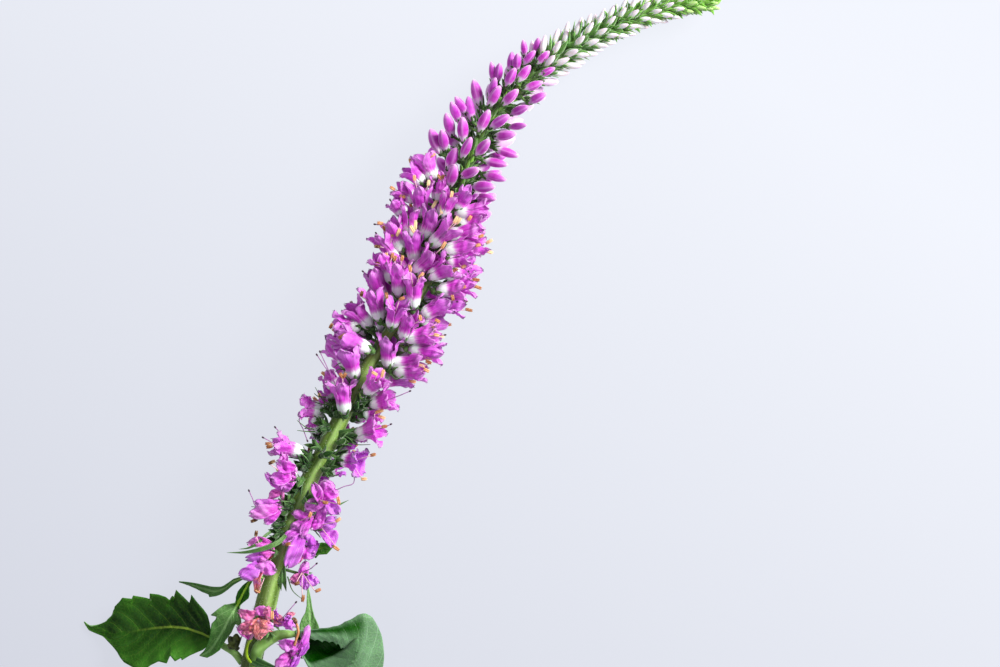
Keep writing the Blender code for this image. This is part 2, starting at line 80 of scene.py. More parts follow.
# The stem's centre line from the cut end to the tip of the spike: right, down, height and radius in mm.
AXIS_POINTS = [
    (213, 917, 2.0, 1.9),
    (232, 800, 4.0, 2.05),
    (247.5, 679, 6.0, 2.15),
    (266, 601, 7.2, 2.08),
    (277, 560, 7.9, 2.0),
    (290, 520, 8.5, 1.9),
    (309, 480, 9.0, 1.85),
    (330, 440, 9.4, 1.75),
    (350, 400, 9.7, 1.55),
    (371, 361, 9.9, 1.4),
    (392, 330, 9.9, 1.3),
    (416, 299, 9.9, 1.2),
    (434, 267, 9.7, 1.2),
    (447, 235, 9.5, 1.15),
    (457, 203, 9.2, 1.1),
    (466, 168, 8.8, 1.1),
    (480, 138, 8.3, 1.05),
    (496, 111, 7.8, 1.0),
    (520, 86, 7.3, 0.95),
    (545, 64, 6.8, 0.9),
    (571, 47, 6.4, 0.85),
    (600, 31, 6.0, 0.75),
    (640, 13, 5.7, 0.65),
    (680, 4, 5.5, 0.5),
    (716, 0, 5.4, 0.3),
]
STEM_LENGTH = 56.5 * MM

# Where the zones of the spike begin, measured up the spike from the top of the stem.
OPEN_FROM = 44 * MM
BUDS_FROM = 93 * MM
WHITE_FROM = 129 * MM
TIP_FROM = 160 * MM
GOLDEN_ANGLE = math.radians(137.508)
ANGLE_JITTER = math.radians(7)

# How the flowers change up the spike: distance, flowers per mm, stalk, length, width, lean in degrees.
Growth = namedtuple("Growth", "density stalk length width lean")
GROWTH = [
    (44, Growth(1.7, 2.2, 7.0, 4.4, 74)),
    (86, Growth(1.9, 2.2, 6.8, 4.0, 70)),
    (93, Growth(2.3, 2.2, 5.6, 2.6, 66)),
    (106, Growth(2.6, 2.1, 5.1, 2.3, 62)),
    (118, Growth(2.7, 1.8, 4.7, 2.1, 54)),
    (129, Growth(2.8, 1.4, 3.6, 1.6, 48)),
    (142, Growth(2.8, 1.1, 3.0, 1.3, 42)),
    (155, Growth(2.8, 1.0, 2.8, 1.2, 38)),
    (162, Growth(3.0, 0.7, 2.5, 1.05, 30)),
    (168, Growth(3.2, 0.3, 2.3, 0.95, 18)),
]
UPWARD_PULL = 0.30
FULL_PULL_WIDTH = 2.6
LEAN_JITTER = 6
SIZE_JITTER = 0.06
BARE_TIP = 0.6 * MM

# The open flowers of the upper side, one by one: where the tube starts, where the petals end,
# rise above level in degrees, and width in mm. The first LOOSE_ROWS rows only say where the stamens and
# pistils of the loose flowers spring from: their petals are in LOOSE_FLOWERS.
SEEN_FLOWERS = [
    (271, 619, 293, 618, 20, 4.2),
    (262, 614, 242, 609, 12, 3.6),
    (265, 619, 268, 607, 42, 4.8),
    (258, 621, 243, 636, 12, 3.8),
    (266, 620, 264, 637, 26, 5.0),
    (270, 568, 259, 589, 8, 2.8),
    (272, 552, 252, 548, 10, 4.6),
    (269, 557, 247, 569, 18, 5.2),
    (267, 556, 267, 571, 36, 4.6),
    (299, 568, 307, 578, 50, 6.2),
    (297, 534, 290, 560, 26, 7.0),
    (303, 537, 311, 555, 30, 6.4),
    (301, 526, 303, 510, 40, 6.6),
    (312, 527, 332, 522, 30, 7.8),
    (284, 508, 256, 509, 8, 5.8),
    (298, 478, 279, 472, 24, 7.6),
    (315, 503, 328, 493, 44, 8.2),
    (304, 453, 273, 441, 12, 4.2),
    (341, 459, 367, 463, 18, 6.2),
    (323, 409, 299, 406, 4, 4.4),
    (355, 436, 384, 425, 14, 6.6),
    (346, 413, 342, 378, 16, 4.8),
    (370, 406, 397, 396, 12, 6.6),
    (366, 392, 384, 373, 30, 4.6),
    (356, 378, 348, 343, 18, 6.6),
    (371, 350, 338, 334, 14, 4.8),
    (394, 372, 428, 370, 12, 4.8),
    (388, 367, 390, 333, 22, 4.6),
    (361, 327, 331, 325, 4, 4.4),
    (371, 327, 349, 302, 14, 4.4),
    (409, 349, 445, 353, 4, 4.2),
    (405, 338, 438, 333, 10, 4.6),
    (403, 339, 414, 311, 28, 3.6),
    (392, 327, 400, 299, 30, 4.2),
    (380, 320, 372, 286, 24, 4.2),
    (384, 303, 371, 268, 8, 4.6),
    (421, 316, 452, 300, 8, 5.0),
    (400, 297, 398, 260, 18, 4.4),
    (413, 309, 417, 273, 18, 4.0),
    (437, 291, 468, 287, 4, 5.0),
    (429, 278, 457, 263, 14, 4.8),
    (414, 273, 440, 252, 24, 4.0),
    (394, 283, 379, 251, 8, 4.2),
    (446, 262, 471, 258, 0, 4.2),
    (443, 252, 478, 243, 4, 4.6),
    (431, 246, 459, 222, 20, 4.6),
    (415, 262, 412, 226, 20, 4.6),
    (396, 262, 379, 231, 6, 4.4),
    (402, 252, 390, 217, 14, 4.2),
    (409, 238, 411, 203, 18, 3.6),
    (424, 239, 438, 205, 20, 4.8),
    (448, 236, 482, 230, 2, 4.4),
    (457, 226, 485, 222, 6, 3.8),
    (404, 215, 393, 199, 6, 3.8),
    (421, 217, 420, 181, 20, 5.0),
    (441, 217, 454, 192, 26, 4.2),
    (455, 213, 489, 213, 4, 3.4),
    (416, 200, 395, 187, 4, 4.0),
    (438, 201, 441, 175, 24, 3.6),
    (457, 210, 471, 189, 20, 3.4),
    (424, 184, 406, 166, 6, 4.0),
    (434, 181, 421, 150, 12, 5.0),
]
LOOSE_ROWS = 17

# The flowers of the loose lower part, whose petals hang apart. Each has a foot, as right and down, and
# petals from the lowest to the topmost: right, down to right, down, width in steps, how violet it is,
# how wilted, and how far along a whole petal its colours begin, where 0.2 is white and 0.45 is pink.
LOOSE_FLOWERS = [
    (298, 478, [
        (299, 477, 288, 475, 12, 0.2, 0.0, 0.15),
        (295, 479, 284, 490, 11, 0.8, 0.1, 0.32),
        (284, 489, 268, 473, 8, 0.6, 0.0, 0.38),
        (293, 468, 284, 452, 10, 0.5, 0.1, 0.45),
        (293, 475, 272, 477, 12, 0.5, 0.0, 0.34),
        (297, 467, 278, 461, 11, 0.0, 0.0, 0.45),
    ]),
    (284, 505, [
        (285, 506, 273, 509, 9, 0.2, 0.0, 0.15),
        (284, 490, 270, 498, 8, 0.2, 0.3, 0.5),
        (281, 501, 256, 501, 10, 0.8, 0.1, 0.45),
        (281, 509, 266, 522, 9, 0.1, 0.0, 0.45),
        (280, 507, 252, 514, 13, 0.5, 0.1, 0.45),
    ]),
    (275, 552, [
        (273, 543, 249, 542, 9, 0.5, 0.2, 0.45),
        (271, 549, 248, 557, 9, 0.9, 0.0, 0.45),
        (264, 568, 258, 591, 7, 0.0, 1.0, 0.6),
        (260, 561, 242, 575, 15, 0.9, 0.0, 0.55),
        (256, 564, 277, 569, 13, 0.1, 0.0, 0.45),
        (272, 551, 259, 558, 9, 0.1, 0.2, 0.45),
    ]),
    (317, 498, [
        (326, 498, 307, 509, 12, 0.7, 0.1, 0.5),
        (328, 498, 340, 512, 11, 0.9, 0.0, 0.5),
        (327, 497, 325, 480, 16, 0.2, 0.0, 0.5),
        (323, 497, 339, 491, 12, 0.0, 0.0, 0.42),
        (321, 501, 314, 483, 9, 0.4, 0.0, 0.5),
    ]),
    (309, 520, [
        (314, 519, 293, 513, 9, 0.0, 0.0, 0.45),
        (308, 519, 292, 531, 12, 0.4, 0.0, 0.5),
        (313, 529, 318, 514, 9, 0.0, 0.0, 0.42),
        (313, 516, 303, 536, 8, 0.2, 0.0, 0.5),
    ]),
    (317, 529, [
        (320, 530, 331, 526, 12, 0.8, 0.0, 0.6),
        (322, 531, 334, 546, 14, 0.8, 0.0, 0.6),
        (321, 531, 336, 518, 12, 1.0, 0.0, 0.6),
        (319, 530, 326, 502, 9, 0.3, 0.0, 0.5),
    ]),
    (304, 538, [
        (318, 542, 309, 559, 9, 1.0, 0.0, 0.5),
        (301, 548, 315, 554, 14, 0.0, 0.0, 0.42),
        (304, 551, 297, 563, 7, 0.0, 0.6, 0.5),
        (316, 545, 301, 536, 10, 1.2, 0.0, 0.45),
        (303, 533, 288, 567, 14, 0.8, 0.0, 0.55),
        (304, 529, 285, 544, 9, 0.6, 0.0, 0.5),
    ]),
    (303, 575, [
        (305, 576, 291, 581, 10, 0.0, 0.5, 0.5),
        (305, 577, 318, 582, 10, 1.0, 0.0, 0.5),
        (305, 580, 306, 562, 9, 0.3, 0.0, 0.45),
        (304, 574, 306, 589, 9, 1.0, 0.0, 0.6),
    ]),
    (263, 618, [
        (251, 638, 238, 626, 6, 0.0, 0.3, 0.5),
        (257, 621, 243, 630, 12, 0.2, 0.75, 0.5),
        (257, 612, 240, 611, 10, 0.2, 0.55, 0.45),
        (271, 611, 255, 611, 10, 0.0, 0.2, 0.42),
        (258, 618, 252, 629, 7, 0.0, 1.0, 0.42),
        (270, 618, 270, 605, 7, 0.0, 0.6, 0.6),
        (259, 621, 261, 637, 10, 0.0, 1.0, 0.5),
        (260, 620, 273, 628, 9, 0.0, 1.0, 0.6),
        (274, 623, 260, 636, 7, 0.0, 0.9, 0.7),
    ]),
    (274, 621, [
        (274, 625, 286, 621, 6, 0.9, 0.1, 0.5),
        (272, 621, 284, 619, 10, 0.0, 0.75, 0.5),
        (279, 619, 277, 609, 6, 1.0, 0.0, 0.45),
        (287, 618, 295, 612, 5, 0.0, 0.8, 0.9),
        (284, 620, 294, 627, 10, 0.6, 0.0, 0.45),
        (287, 621, 292, 614, 5, 0.9, 0.0, 0.6),
    ]),
]
LOOSE_PETAL_ROWS = 18
LOOSE_PETAL_COLUMNS = 13
CALYX_STANDS_OFF = 1.2 * MM
LOOSE_SHAPE = [
    (0.0, 0.45), (0.15, 0.72), (0.4, 0.98), (0.65, 1.0), (0.84, 0.84), (0.94, 0.55), (1.0, 0.14),
]
LOOSE_WIDENING = 1.2
LOOSE_STEP = 0.22 * MM
LOOSE_FOLDS = 2.0 * MM
LOOSE_NOTCH = 0.26 * MM
CLAW_RADIUS = 0.32 * MM

# The pink buds of the upper side: where each starts, where its tip is, and its width in mm.
SEEN_BUDS = [
    (462, 158, 472, 138, 2.0),
    (477, 155, 490, 141, 2.2),
    (462, 177, 480, 170, 2.2),
    (484, 161, 509, 166, 1.9),
    (484, 174, 507, 181, 1.9),
    (473, 187, 496, 188, 2.4),
    (475, 197, 497, 200, 1.9),
    (450, 186, 456, 165, 2.4),
    (448, 168, 457, 148, 2.4),
    (440, 153, 430, 128, 2.6),
    (445, 150, 442, 130, 2.2),
    (463, 141, 463, 117, 2.4),
    (452, 135, 446, 113, 2.4),
    (459, 121, 451, 102, 2.1),
    (466, 113, 455, 97, 1.9),
    (472, 121, 468, 95, 2.1),
    (480, 105, 473, 78, 2.4),
    (479, 132, 490, 110, 2.2),
    (491, 128, 510, 116, 2.1),
    (511, 114, 529, 107, 1.9),
    (509, 127, 527, 126, 1.6),
    (495, 137, 517, 135, 2.2),
    (496, 149, 520, 157, 2.0),
    (489, 106, 501, 86, 2.2),
    (503, 105, 519, 90, 2.1),
    (490, 97, 496, 78, 1.9),
    (494, 82, 491, 61, 1.6),
    (497, 81, 500, 63, 1.9),
    (511, 72, 512, 50, 1.9),
    (516, 70, 518, 53, 1.8),
    (506, 86, 516, 68, 2.0),
    (518, 82, 531, 65, 2.0),
    (524, 90, 544, 82, 1.8),
    (529, 102, 547, 93, 1.9),
    (523, 64, 536, 50, 1.7),
    (537, 64, 550, 51, 1.7),
    (539, 76, 556, 68, 1.5),
    (525, 55, 523, 39, 1.5),
    (535, 51, 539, 37, 1.5),
]
BUD_STRETCH = 1.06
TUBE_STANDS_OFF = 2.2 * MM
FAR_STALK_RISE = 0.15

# The flowers of the underside follow the golden angle. They are lifted clear of the surface.
HIDDEN_BELOW = 0.16
BUD_HIDDEN_BELOW = 0.0
LOOSE_HIDDEN_BELOW = -0.6
LOOSE_HIDDEN_FROM = 18 * MM
FLOOR_CLEARANCE = -0.4 * MM
FLARE_MARGIN = 0.5
STEEPEST = 0.98

# The pollen sacs that show: right, down, heading in degrees, length in steps, and age from 0, fresh.
ANTHERS = [
    (429, 184, 80, 6, 0.0), (435, 205, 58, 10, 0.0), (442, 210, 88, 10, 0.0), (452, 196, 80, 8, 0.15),
    (413, 230, 118, 9, 0.05), (416, 226, 86, 11, 0.0), (399, 233, 68, 9, 0.2), (393, 235, 90, 5, 0.6),
    (456, 221, 60, 9, 0.1), (459, 222, 50, 8, 0.15), (470, 219, 55, 5, 0.4), (481, 237, 20, 4, 0.5),
    (478, 246, 10, 4, 0.4), (444, 246, 58, 9, 0.4), (411, 269, 100, 8, 0.5), (422, 276, 45, 8, 0.35),
    (455, 271, 28, 9, 0.9), (464, 267, 25, 5, 0.3), (462, 288, 15, 10, 0.6), (375, 272, 90, 6, 0.8),
    (378, 264, 30, 6, 0.9), (378, 247, 175, 7, 1.0), (381, 224, 170, 7, 0.45), (385, 229, 120, 5, 0.7),
    (403, 197, 165, 7, 0.5), (393, 189, 150, 3, 0.5), (415, 179, 95, 5, 0.3), (411, 162, 110, 4, 0.3),
    (427, 157, 90, 5, 0.3), (433, 156, 30, 4, 0.35), (440, 178, 130, 5, 0.6), (443, 178, 60, 5, 0.6),
    (387, 256, 90, 6, 0.3), (393, 256, 80, 4, 0.6), (396, 259, 70, 4, 0.7), (403, 259, 75, 6, 0.55),
    (363, 294, 75, 6, 0.95), (388, 296, 100, 7, 0.8), (403, 299, 20, 6, 0.6), (421, 318, 100, 6, 0.45),
    (434, 329, 110, 5, 0.9), (437, 335, 170, 5, 0.3), (453, 298, 100, 5, 0.7), (438, 321, 150, 5, 0.6),
    (344, 336, 28, 10, 0.8), (332, 326, 60, 6, 0.85), (427, 370, 150, 5, 0.35), (429, 362, 160, 7, 0.85),
    (343, 375, 125, 7, 0.75), (346, 375, 55, 7, 0.75), (376, 373, 150, 7, 0.25), (384, 373, 75, 9, 0.3),
    (380, 411, 18, 10, 0.55), (385, 426, 10, 4, 0.7), (374, 454, 15, 4, 0.75), (365, 478, 5, 4, 0.2),
    (270, 443, 178, 7, 0.8), (271, 446, 190, 7, 0.8), (274, 461, 25, 8, 1.0), (256, 519, 20, 8, 1.0),
    (327, 501, 170, 5, 0.8), (340, 499, 100, 9, 0.55), (312, 513, 70, 5, 0.45), (339, 519, 35, 7, 0.3),
    (258, 532, 80, 6, 1.0), (290, 542, 20, 6, 0.8), (337, 547, 145, 8, 0.6), (298, 582, 30, 5, 0.9),
    (319, 589, 25, 7, 0.6), (304, 597, 80, 8, 0.8), (274, 613, 88, 9, 0.35), (259, 589, 150, 5, 0.5),
]

# Pistils that stick out: from right, down to right, down.
STYLES = [
    (335, 380, 322, 352), (333, 376, 319, 355), (286, 437, 277, 427), (276, 443, 265, 437),
    (258, 505, 251, 490), (355, 481, 335, 490), (300, 418, 308, 440), (311, 568, 317, 563),
    (284, 616, 297, 601), (398, 396, 410, 391), (437, 336, 445, 335), (395, 209, 391, 201),
    (384, 242, 377, 234), (369, 276, 364, 272), (382, 226, 376, 225), (470, 274, 469, 272),
    (385, 427, 391, 424), (449, 303, 457, 302),
]

# Thin dark stalks and dried tips, as points to the right and down, this many mm over the axis.
THREAD_RISE = 2.6
THREADS = [
    [(333, 405), (324, 400), (316, 387)],
    [(333, 404), (323, 404), (314, 401)],
    [(326, 410), (325, 403), (325, 396)],
    [(327, 397), (319, 396), (315, 393)],
    [(348, 364), (341, 363), (335, 367)],
    [(346, 370), (340, 369), (336, 372)],
    [(404, 376), (396, 379), (391, 374), (388, 378)],
    [(315, 429), (307, 427), (298, 420)],
    [(316, 431), (307, 431), (298, 430)],
    [(345, 440), (358, 444), (371, 444)],
    [(330, 474), (337, 475), (341, 472)],
    [(281, 504), (268, 507), (252, 506)],
    [(288, 576), (293, 590), (303, 599)],
    [(348, 440), (338, 451), (330, 460)],
    [(300, 466), (297, 468), (294, 468)],
]

# Narrow bracts: root, tip, rise in degrees, width in mm.
BRACTS = [
    (331, 545, 348, 501, -14, 1.2),
    (306, 448, 288, 457, 12, 1.4),
    (331, 436, 356, 428, 20, 1.6),
    (342, 426, 347, 411, 30, 1.4),
    (327, 463, 346, 467, 14, 1.4),
    (284, 560, 281, 591, 4, 1.6),
    (290, 556, 286, 592, 0, 1.7),
]

# Two bracts that bend over the left flowers: points as right, down, height, and their width in mm.
CURVED_BRACTS = [
    ([(292, 527, 9.6), (281, 540, 13.2), (266, 546.5, 14.4), (248, 550.5, 14.0), (228, 551.5, 12.6)], 1.1),
    ([(283, 528, 9.4), (270, 532, 12.2), (259, 542, 13.6), (250, 546.5, 13.4), (240, 548, 12.8)], 0.7),
]

# The small spray beside the right leaf: its stalk as right, down, height, then the petals of its flower,
# each as in LOOSE_FLOWERS. Below it the dark buds of the left leaf's fork, which spring from the end of
# their stalk: where each ends, its rise in degrees and its width in mm.
SPRAY_STALK = [(289, 646, 7.8), (292, 650, 8.1), (296, 655, 8.2)]
SPRAY_RADIUS = 0.5 * MM
SPRAY_PETALS = [
    (296, 657, 286, 651, 9, 0.4, 0.0, 0.2),
    (292, 656, 286, 671, 9, 0.6, 0.1, 0.45),
    (290, 653, 277, 669, 9, 0.6, 0.2, 0.42),
    (291, 669, 298, 651, 6, 0.9, 0.0, 0.6),
    (300, 656, 302, 634, 7, 1.0, 0.0, 0.5),
    (294, 656, 297, 640, 9, 0.1, 0.0, 0.42),
    (298, 651, 309, 625, 7, 0.6, 0.0, 0.5),
    (297, 644, 279, 643, 12, 0.4, 0.0, 0.42),
]
AXIL_STALK = [(238, 650, 8.2), (235, 647, 8.4)]
AXIL_BUDS = [
    (229, 636, 20, 1.6),
    (237, 633, 30, 1.7),
    (227, 645, 24, 1.4),
]

# A leaf: the centre line of its stalk and then its midrib, as right, down, height, and its two edges
# from the blade's foot to its tip, to the left and to the right of the way to the tip. Each half rises
# by its bend in degrees. Veins is the number of side veins, wave how much the edge ripples in mm, and
# pale how much of the underside's colour shows, along the blade.
Leaf = namedtuple("Leaf", "name slot node stalk stalk_radius midrib left right bend veins wave paint pale")
LEAVES = [
    Leaf(
        "large_left_leaf", "leaf_dark", "leaf_large_left",
        [(241, 664, 5.4), (233, 654, 6.0), (222, 647, 6.3), (210, 638.5, 6.4)], (0.85, 0.6),
        [(211, 639, 6.4), (196, 633, 6.1), (180, 629, 5.6), (163, 629, 4.6), (147, 631, 3.6),
         (130, 634, 2.5), (112, 636, 1.6), (96, 634, 0.9), (85, 632, 0.5), (79, 626, 0.4)],
        [(209, 645), (202, 651), (197, 653), (189, 656.5), (180.6, 661.5), (180, 659), (174, 662.5),
         (169, 656.5), (165.4, 665), (157, 663), (149, 667), (145, 670), (138, 672), (131, 670),
         (121, 665), (116.6, 660), (113.4, 655.4), (108, 649.5), (103.6, 645), (98.7, 640),
         (88, 636), (83.5, 634), (80, 629), (78.5, 625)],
        [(210, 636), (209, 624), (207, 616), (203, 610), (196.4, 602.3), (190.6, 594.9), (189.3, 604.5),
         (182.8, 598), (174.7, 590.4), (173.6, 599), (170.9, 596.3), (169.2, 601.8), (164.4, 598),
         (156.8, 595.8), (147, 595), (150.8, 601.8), (143.8, 599.6), (130.2, 597.4), (129.7, 600.7),
         (119.3, 599.6), (116.6, 603.4), (110.7, 609.3), (109.6, 617.5), (103.6, 623), (96, 628),
         (86, 631), (82, 628), (78.5, 625)],
        (26, 30), 8, 0.25, "dark_leaf", [(0, 0.0), (1, 0.0)],
    ),
    Leaf(
        "narrow_left_leaf", "leaf_light", "leaf_narrow_left",
        [(264, 572, 6.6), (254, 574.5, 6.5), (245, 577, 6.3)], (0.45, 0.4),
        [(246, 577, 6.3), (238, 580, 6.0), (231, 583.5, 5.5), (223, 590, 5.0), (213, 593, 4.4),
         (202, 590.5, 4.0), (190, 587, 3.6), (176, 584, 3.2)],
        [(246, 578), (239, 582), (232, 586), (226, 591), (220, 595.5), (214, 598), (207, 599),
         (207.5, 596.5), (200, 594), (192, 590), (184, 586.5), (176, 584.3)],
        [(246, 576), (238, 578.5), (232, 580), (227, 584), (220, 588.5), (210, 588.5), (200, 586.5),
         (192, 585), (184, 584), (176, 583.7)],
        (30, 34), 5, 0.1, "light_leaf", [(0, 0.3), (0.5, 0.7), (0.8, 0.4), (1, 0.0)],
    ),
    Leaf(
        "toothed_left_leaf", "leaf_light", "leaf_toothed_left",
        [(265, 579, 8.4), (258, 577, 9.1), (251, 580, 9.3)], (0.35, 0.35),
        [(252, 580, 9.3), (248, 584, 9.3), (244, 592, 9.4), (240, 600, 9.5), (237.5, 605, 9.6),
         (231, 616, 9.7), (225, 628, 9.5), (217, 641, 9.1), (208, 652, 8.7), (199, 656, 8.4)],
        [(252.5, 581), (248.5, 587), (250, 594), (249, 598), (244, 602), (239, 605.5), (241, 615),
         (243, 630), (237.5, 620), (232, 632), (226, 640), (220, 650), (213, 655), (207, 658), (199, 656)],
        [(251, 579), (243, 585), (238, 591), (236, 597), (236, 603.5), (225, 604), (219, 608),
         (211, 614.5), (218, 613), (216, 619), (212, 623), (210.5, 632), (209, 640), (205, 650), (199, 656)],
        (36, 30), 5, 0.2, "light_leaf",
        [(0, 0.0), (0.3, 0.0), (0.38, 1.0), (0.55, 0.6), (0.8, 0.3), (1, 0.35)],
    ),
    Leaf(
        "upright_right_leaf", "leaf_light", "leaf_upright_right",
        [(268, 638, 5.0), (284, 637, 4.4), (299, 635, 4.0), (308, 633, 3.6)], (0.6, 0.6),
        [(309, 634, 3.6), (309, 626, 3.4), (308.5, 618, 3.2), (308, 609, 3.1), (307, 600, 3.1),
         (306.5, 590, 3.0)],
        [(298, 634), (298, 627), (300, 621), (303.5, 615), (305, 608), (305, 600), (306, 590)],
        [(319, 634), (317, 627), (313, 619), (310.5, 610), (309, 600), (307, 590)],
        (24, 24), 4, 0.1, "light_leaf", [(0, 1.0), (1, 1.0)],
    ),
    Leaf(
        "dark_right_leaf", "leaf_dark", "leaf_dark_right",
        [(284, 552, 6.8), (294, 551.5, 6.2), (301, 551, 5.8)], (0.4, 0.4),
        [(302, 551, 5.8), (310, 550, 5.4), (318, 549.5, 5.2), (326, 548, 5.0), (334, 546, 4.8)],
        [(301, 549), (306, 545), (311, 543.5), (315, 545), (321, 543.5), (328, 544.5), (334, 545.5)],
        [(301, 553), (306, 557.5), (309, 555.5), (315, 559.5), (318, 556), (326, 555.5), (334, 546.5)],
        (22, 24), 4, 0.1, "dark_leaf", [(0, 0.0), (1, 0.0)],
    ),
]
LEAF_ROWS = 150
LEAF_HALF_COLUMNS = 15
LEAF_THICKNESS = 0.3 * MM
TOOTH_ROWS = 9
STALK_POINTS = 24

# The large right leaf curls over: rows of points from its near edge across its floor to its far edge,
# which is rolled back over it, one row after another from the foot to the tip.
CURLED_LEAF = [
    [(296, 641, 7.2), (295, 640, 7.5), (294, 637, 6.9), (294, 635, 6.7), (295, 633, 7.0), (295, 631, 7.8),
     (295, 633, 8.3), (295, 636, 8.0)],
    [(314, 675, 6.8), (309, 667, 7.6), (305, 653, 6.0), (306, 643, 5.7), (308, 634, 6.8), (309, 630.5, 8.3),
     (308, 634, 9.2), (308, 638, 8.9)],
    [(330, 674, 6.8), (322, 664, 8.0), (320, 655, 5.8), (321, 645, 5.3), (322, 634, 6.6), (322, 629, 8.6),
     (321, 634, 9.6), (321, 640, 9.2)],
    [(345, 669, 7.2), (335, 658.5, 8.5), (333, 652, 6.0), (334, 645, 5.4), (337, 633, 6.6), (337, 626.5, 8.8),
     (336, 635, 9.8), (335, 642, 9.3)],
    [(354, 659, 8.4), (346, 650, 9.7), (344, 647, 6.8), (345, 642, 6.0), (350, 628, 6.8), (350, 620.5, 8.8),
     (348, 637, 9.6), (344, 649, 8.9)],
    [(357, 650, 9.4), (358, 638.5, 10.4), (354, 642, 7.0), (356, 638, 6.2), (363, 625, 6.6), (366, 615, 8.4),
     (360, 641, 9.0), (350, 656, 8.2)],
    [(357, 661, 5.8), (358, 656, 6.2), (360, 654, 5.6), (364, 648, 5.4), (373, 638, 5.6), (378, 632, 7.0),
     (361, 659, 7.8), (341, 671, 6.6)],
    [(364, 677, 3.6), (365, 675, 3.8), (367, 672, 3.8), (370, 668, 3.9), (377, 662, 4.0), (382, 662, 5.0),
     (363, 679, 5.4), (346, 690, 4.4)],
    [(370, 697, 1.6), (370, 697, 1.7), (371, 697, 1.8), (371, 697, 1.9), (372, 697, 2.0), (373, 698, 2.4),
     (371, 698, 2.6), (369, 697, 2.5)],
]
CURLED_ROWS = 130
CURLED_COLUMNS = 90
CURLED_VEINS = 9
CURLED_STALK = [
    (252, 682, 6.4), (254, 668, 7.9), (255.5, 657, 8.6), (259, 648, 8.9), (267, 641, 8.7), (279, 635.5, 8.2),
    (297, 634.5, 7.7),
]
CURLED_STALK_RADII = [0.9, 1.15, 1.25, 1.3, 1.25, 1.1, 0.55]
THIN_STALK = [
    (252, 638, 9.4), (248, 644, 10.2), (247, 654, 10.0), (250, 661, 9.6), (257, 668, 8.8), (264, 674, 7.8),
]
THIN_STALK_RADIUS = 0.3
FORK_LEAF = [(249, 655, 8.6), (256, 661, 9.6), (268, 666, 9.4), (284, 671, 8.4)]
FORK_LEAF_WIDTH = 2.2 * MM
DRIED_STAMEN = [(297, 623, 10.6), (299, 631, 11.0), (297, 638, 11.0), (295, 645, 10.8)]

# Flowers that have fallen leave their sepals: from right, down to right, down.
EMPTY_CALYCES = [
    (292, 500, 283, 493), (290, 506, 281, 503), (283, 518, 272, 518), (282, 524, 271, 525),
    (280, 532, 268, 533), (279, 538, 272, 540), (286, 512, 279, 520), (302, 480, 297, 487),
    (299, 488, 293, 490), (309, 460, 307, 446), (306, 464, 293, 459), (305, 468, 299, 463),
    (326, 424, 316, 420), (327, 429, 320, 430), (331, 413, 326, 402), (337, 414, 336, 404),
    (306, 500, 311, 496), (331, 466, 338, 463), (326, 470, 334, 473), (341, 442, 349, 439),
    (346, 436, 353, 437), (357, 408, 366, 397), (360, 409, 369, 404), (323, 455, 329, 452),
    (262, 632, 252, 633), (268, 630, 269, 637), (350, 404, 345, 398), (318, 447, 314, 444),
]

# An open flower: shares of its length, and sizes in mm where MM isn't named.
TUBE_SHARE = 0.34
TUBE_ROWS = 4
PETAL_ROWS = 12
PETAL_COLUMNS = 11
PETALS = 4
TUBE_FOOT = 0.9
TUBE_MOUTH = 1.42
TUBE_BEND = math.radians(50)
LEAST_BEND = 0.05
PETAL_WIDTH = [(0.0, 0.62), (0.2, 0.86), (0.42, 1.0), (0.63, 0.94), (0.8, 0.72), (0.92, 0.4), (1.0, 0.06)]
PETAL_HALF_WIDTH = 2.1
PETAL_THICKNESS = 0.12 * MM
FLARE_ENDS = 0.3
THROAT_PROFILE = [(0.0, 0.0), (0.1, 0.75), (0.5, 1.0), (0.85, 0.8), (1.0, 0.0)]
THROAT_SHADE = 0.36

# How uneven a petal is: folds as how many run along it, how many across it and their height, then the
# gutters along it, the ruffle of its sides, how they sway, and how deep its rim is notched.
FOLDS = [(1.1, 2.3, 0.10), (2.3, 1.2, 0.09), (3.4, 2.6, 0.06), (0.6, 4.0, 0.05)]
GUTTER = 0.17
RUFFLE = 0.26
SWAY = 0.12
NOTCH = 0.13

# How much the petals crumple, by distance up the spike in mm. Those of the loose lower part crumple most,
# and less of their foot is white.
LOOSE_CRUMPLE = 2.0
LOOSE_DEEP = 0.15
CRUMPLE = [(60, 1.55), (80, 1.3), (95, 0.95)]

# How small the flowers of the underside are, by distance up the spike in mm, so that they stay behind the
# stem where the spike is loose.
SMALL_FLOWERS = [
    (0, 0.62), (43, 0.62), (44.2, 0.36), (48.2, 0.36), (49.7, 0.55), (53, 0.5), (54, 1), (200, 1),
]

# Distances up the spike: the crowded petals are one piece below DENSE_HALF and another above it, the pink
# buds of the underside are paler from PALE_FROM on, and the white ones grow greener from FRESH_FROM on.
DENSE_HALF = 70 * MM
PALE_FROM = 108 * MM
FRESH_FROM = 140 * MM
FRESH_REACH = 26 * MM

# Sepals: length, width, how far from the flower's middle they start, and how much they spread. They start
# this share of their length behind the flower's foot.
SEPALS = 4
SEPAL_ROWS = 6
SEPAL_TURN = 0.6
SEPAL_BEHIND = 0.18
OPEN_CALYX = (1.5 * MM, 0.9 * MM, 1.15 * MM, 0.25)
PINK_CALYX = (1.0 * MM, 0.6 * MM, 0.62 * MM, 0.2)
WHITE_CALYX = (1.7 * MM, 0.7 * MM, 0.5 * MM, 0.2)
LOOSE_CALYX = (2.0 * MM, 1.0 * MM, 0.75 * MM, 0.3)
EMPTY_SEPALS = (1.55 * MM, 0.6 * MM, 0.4)

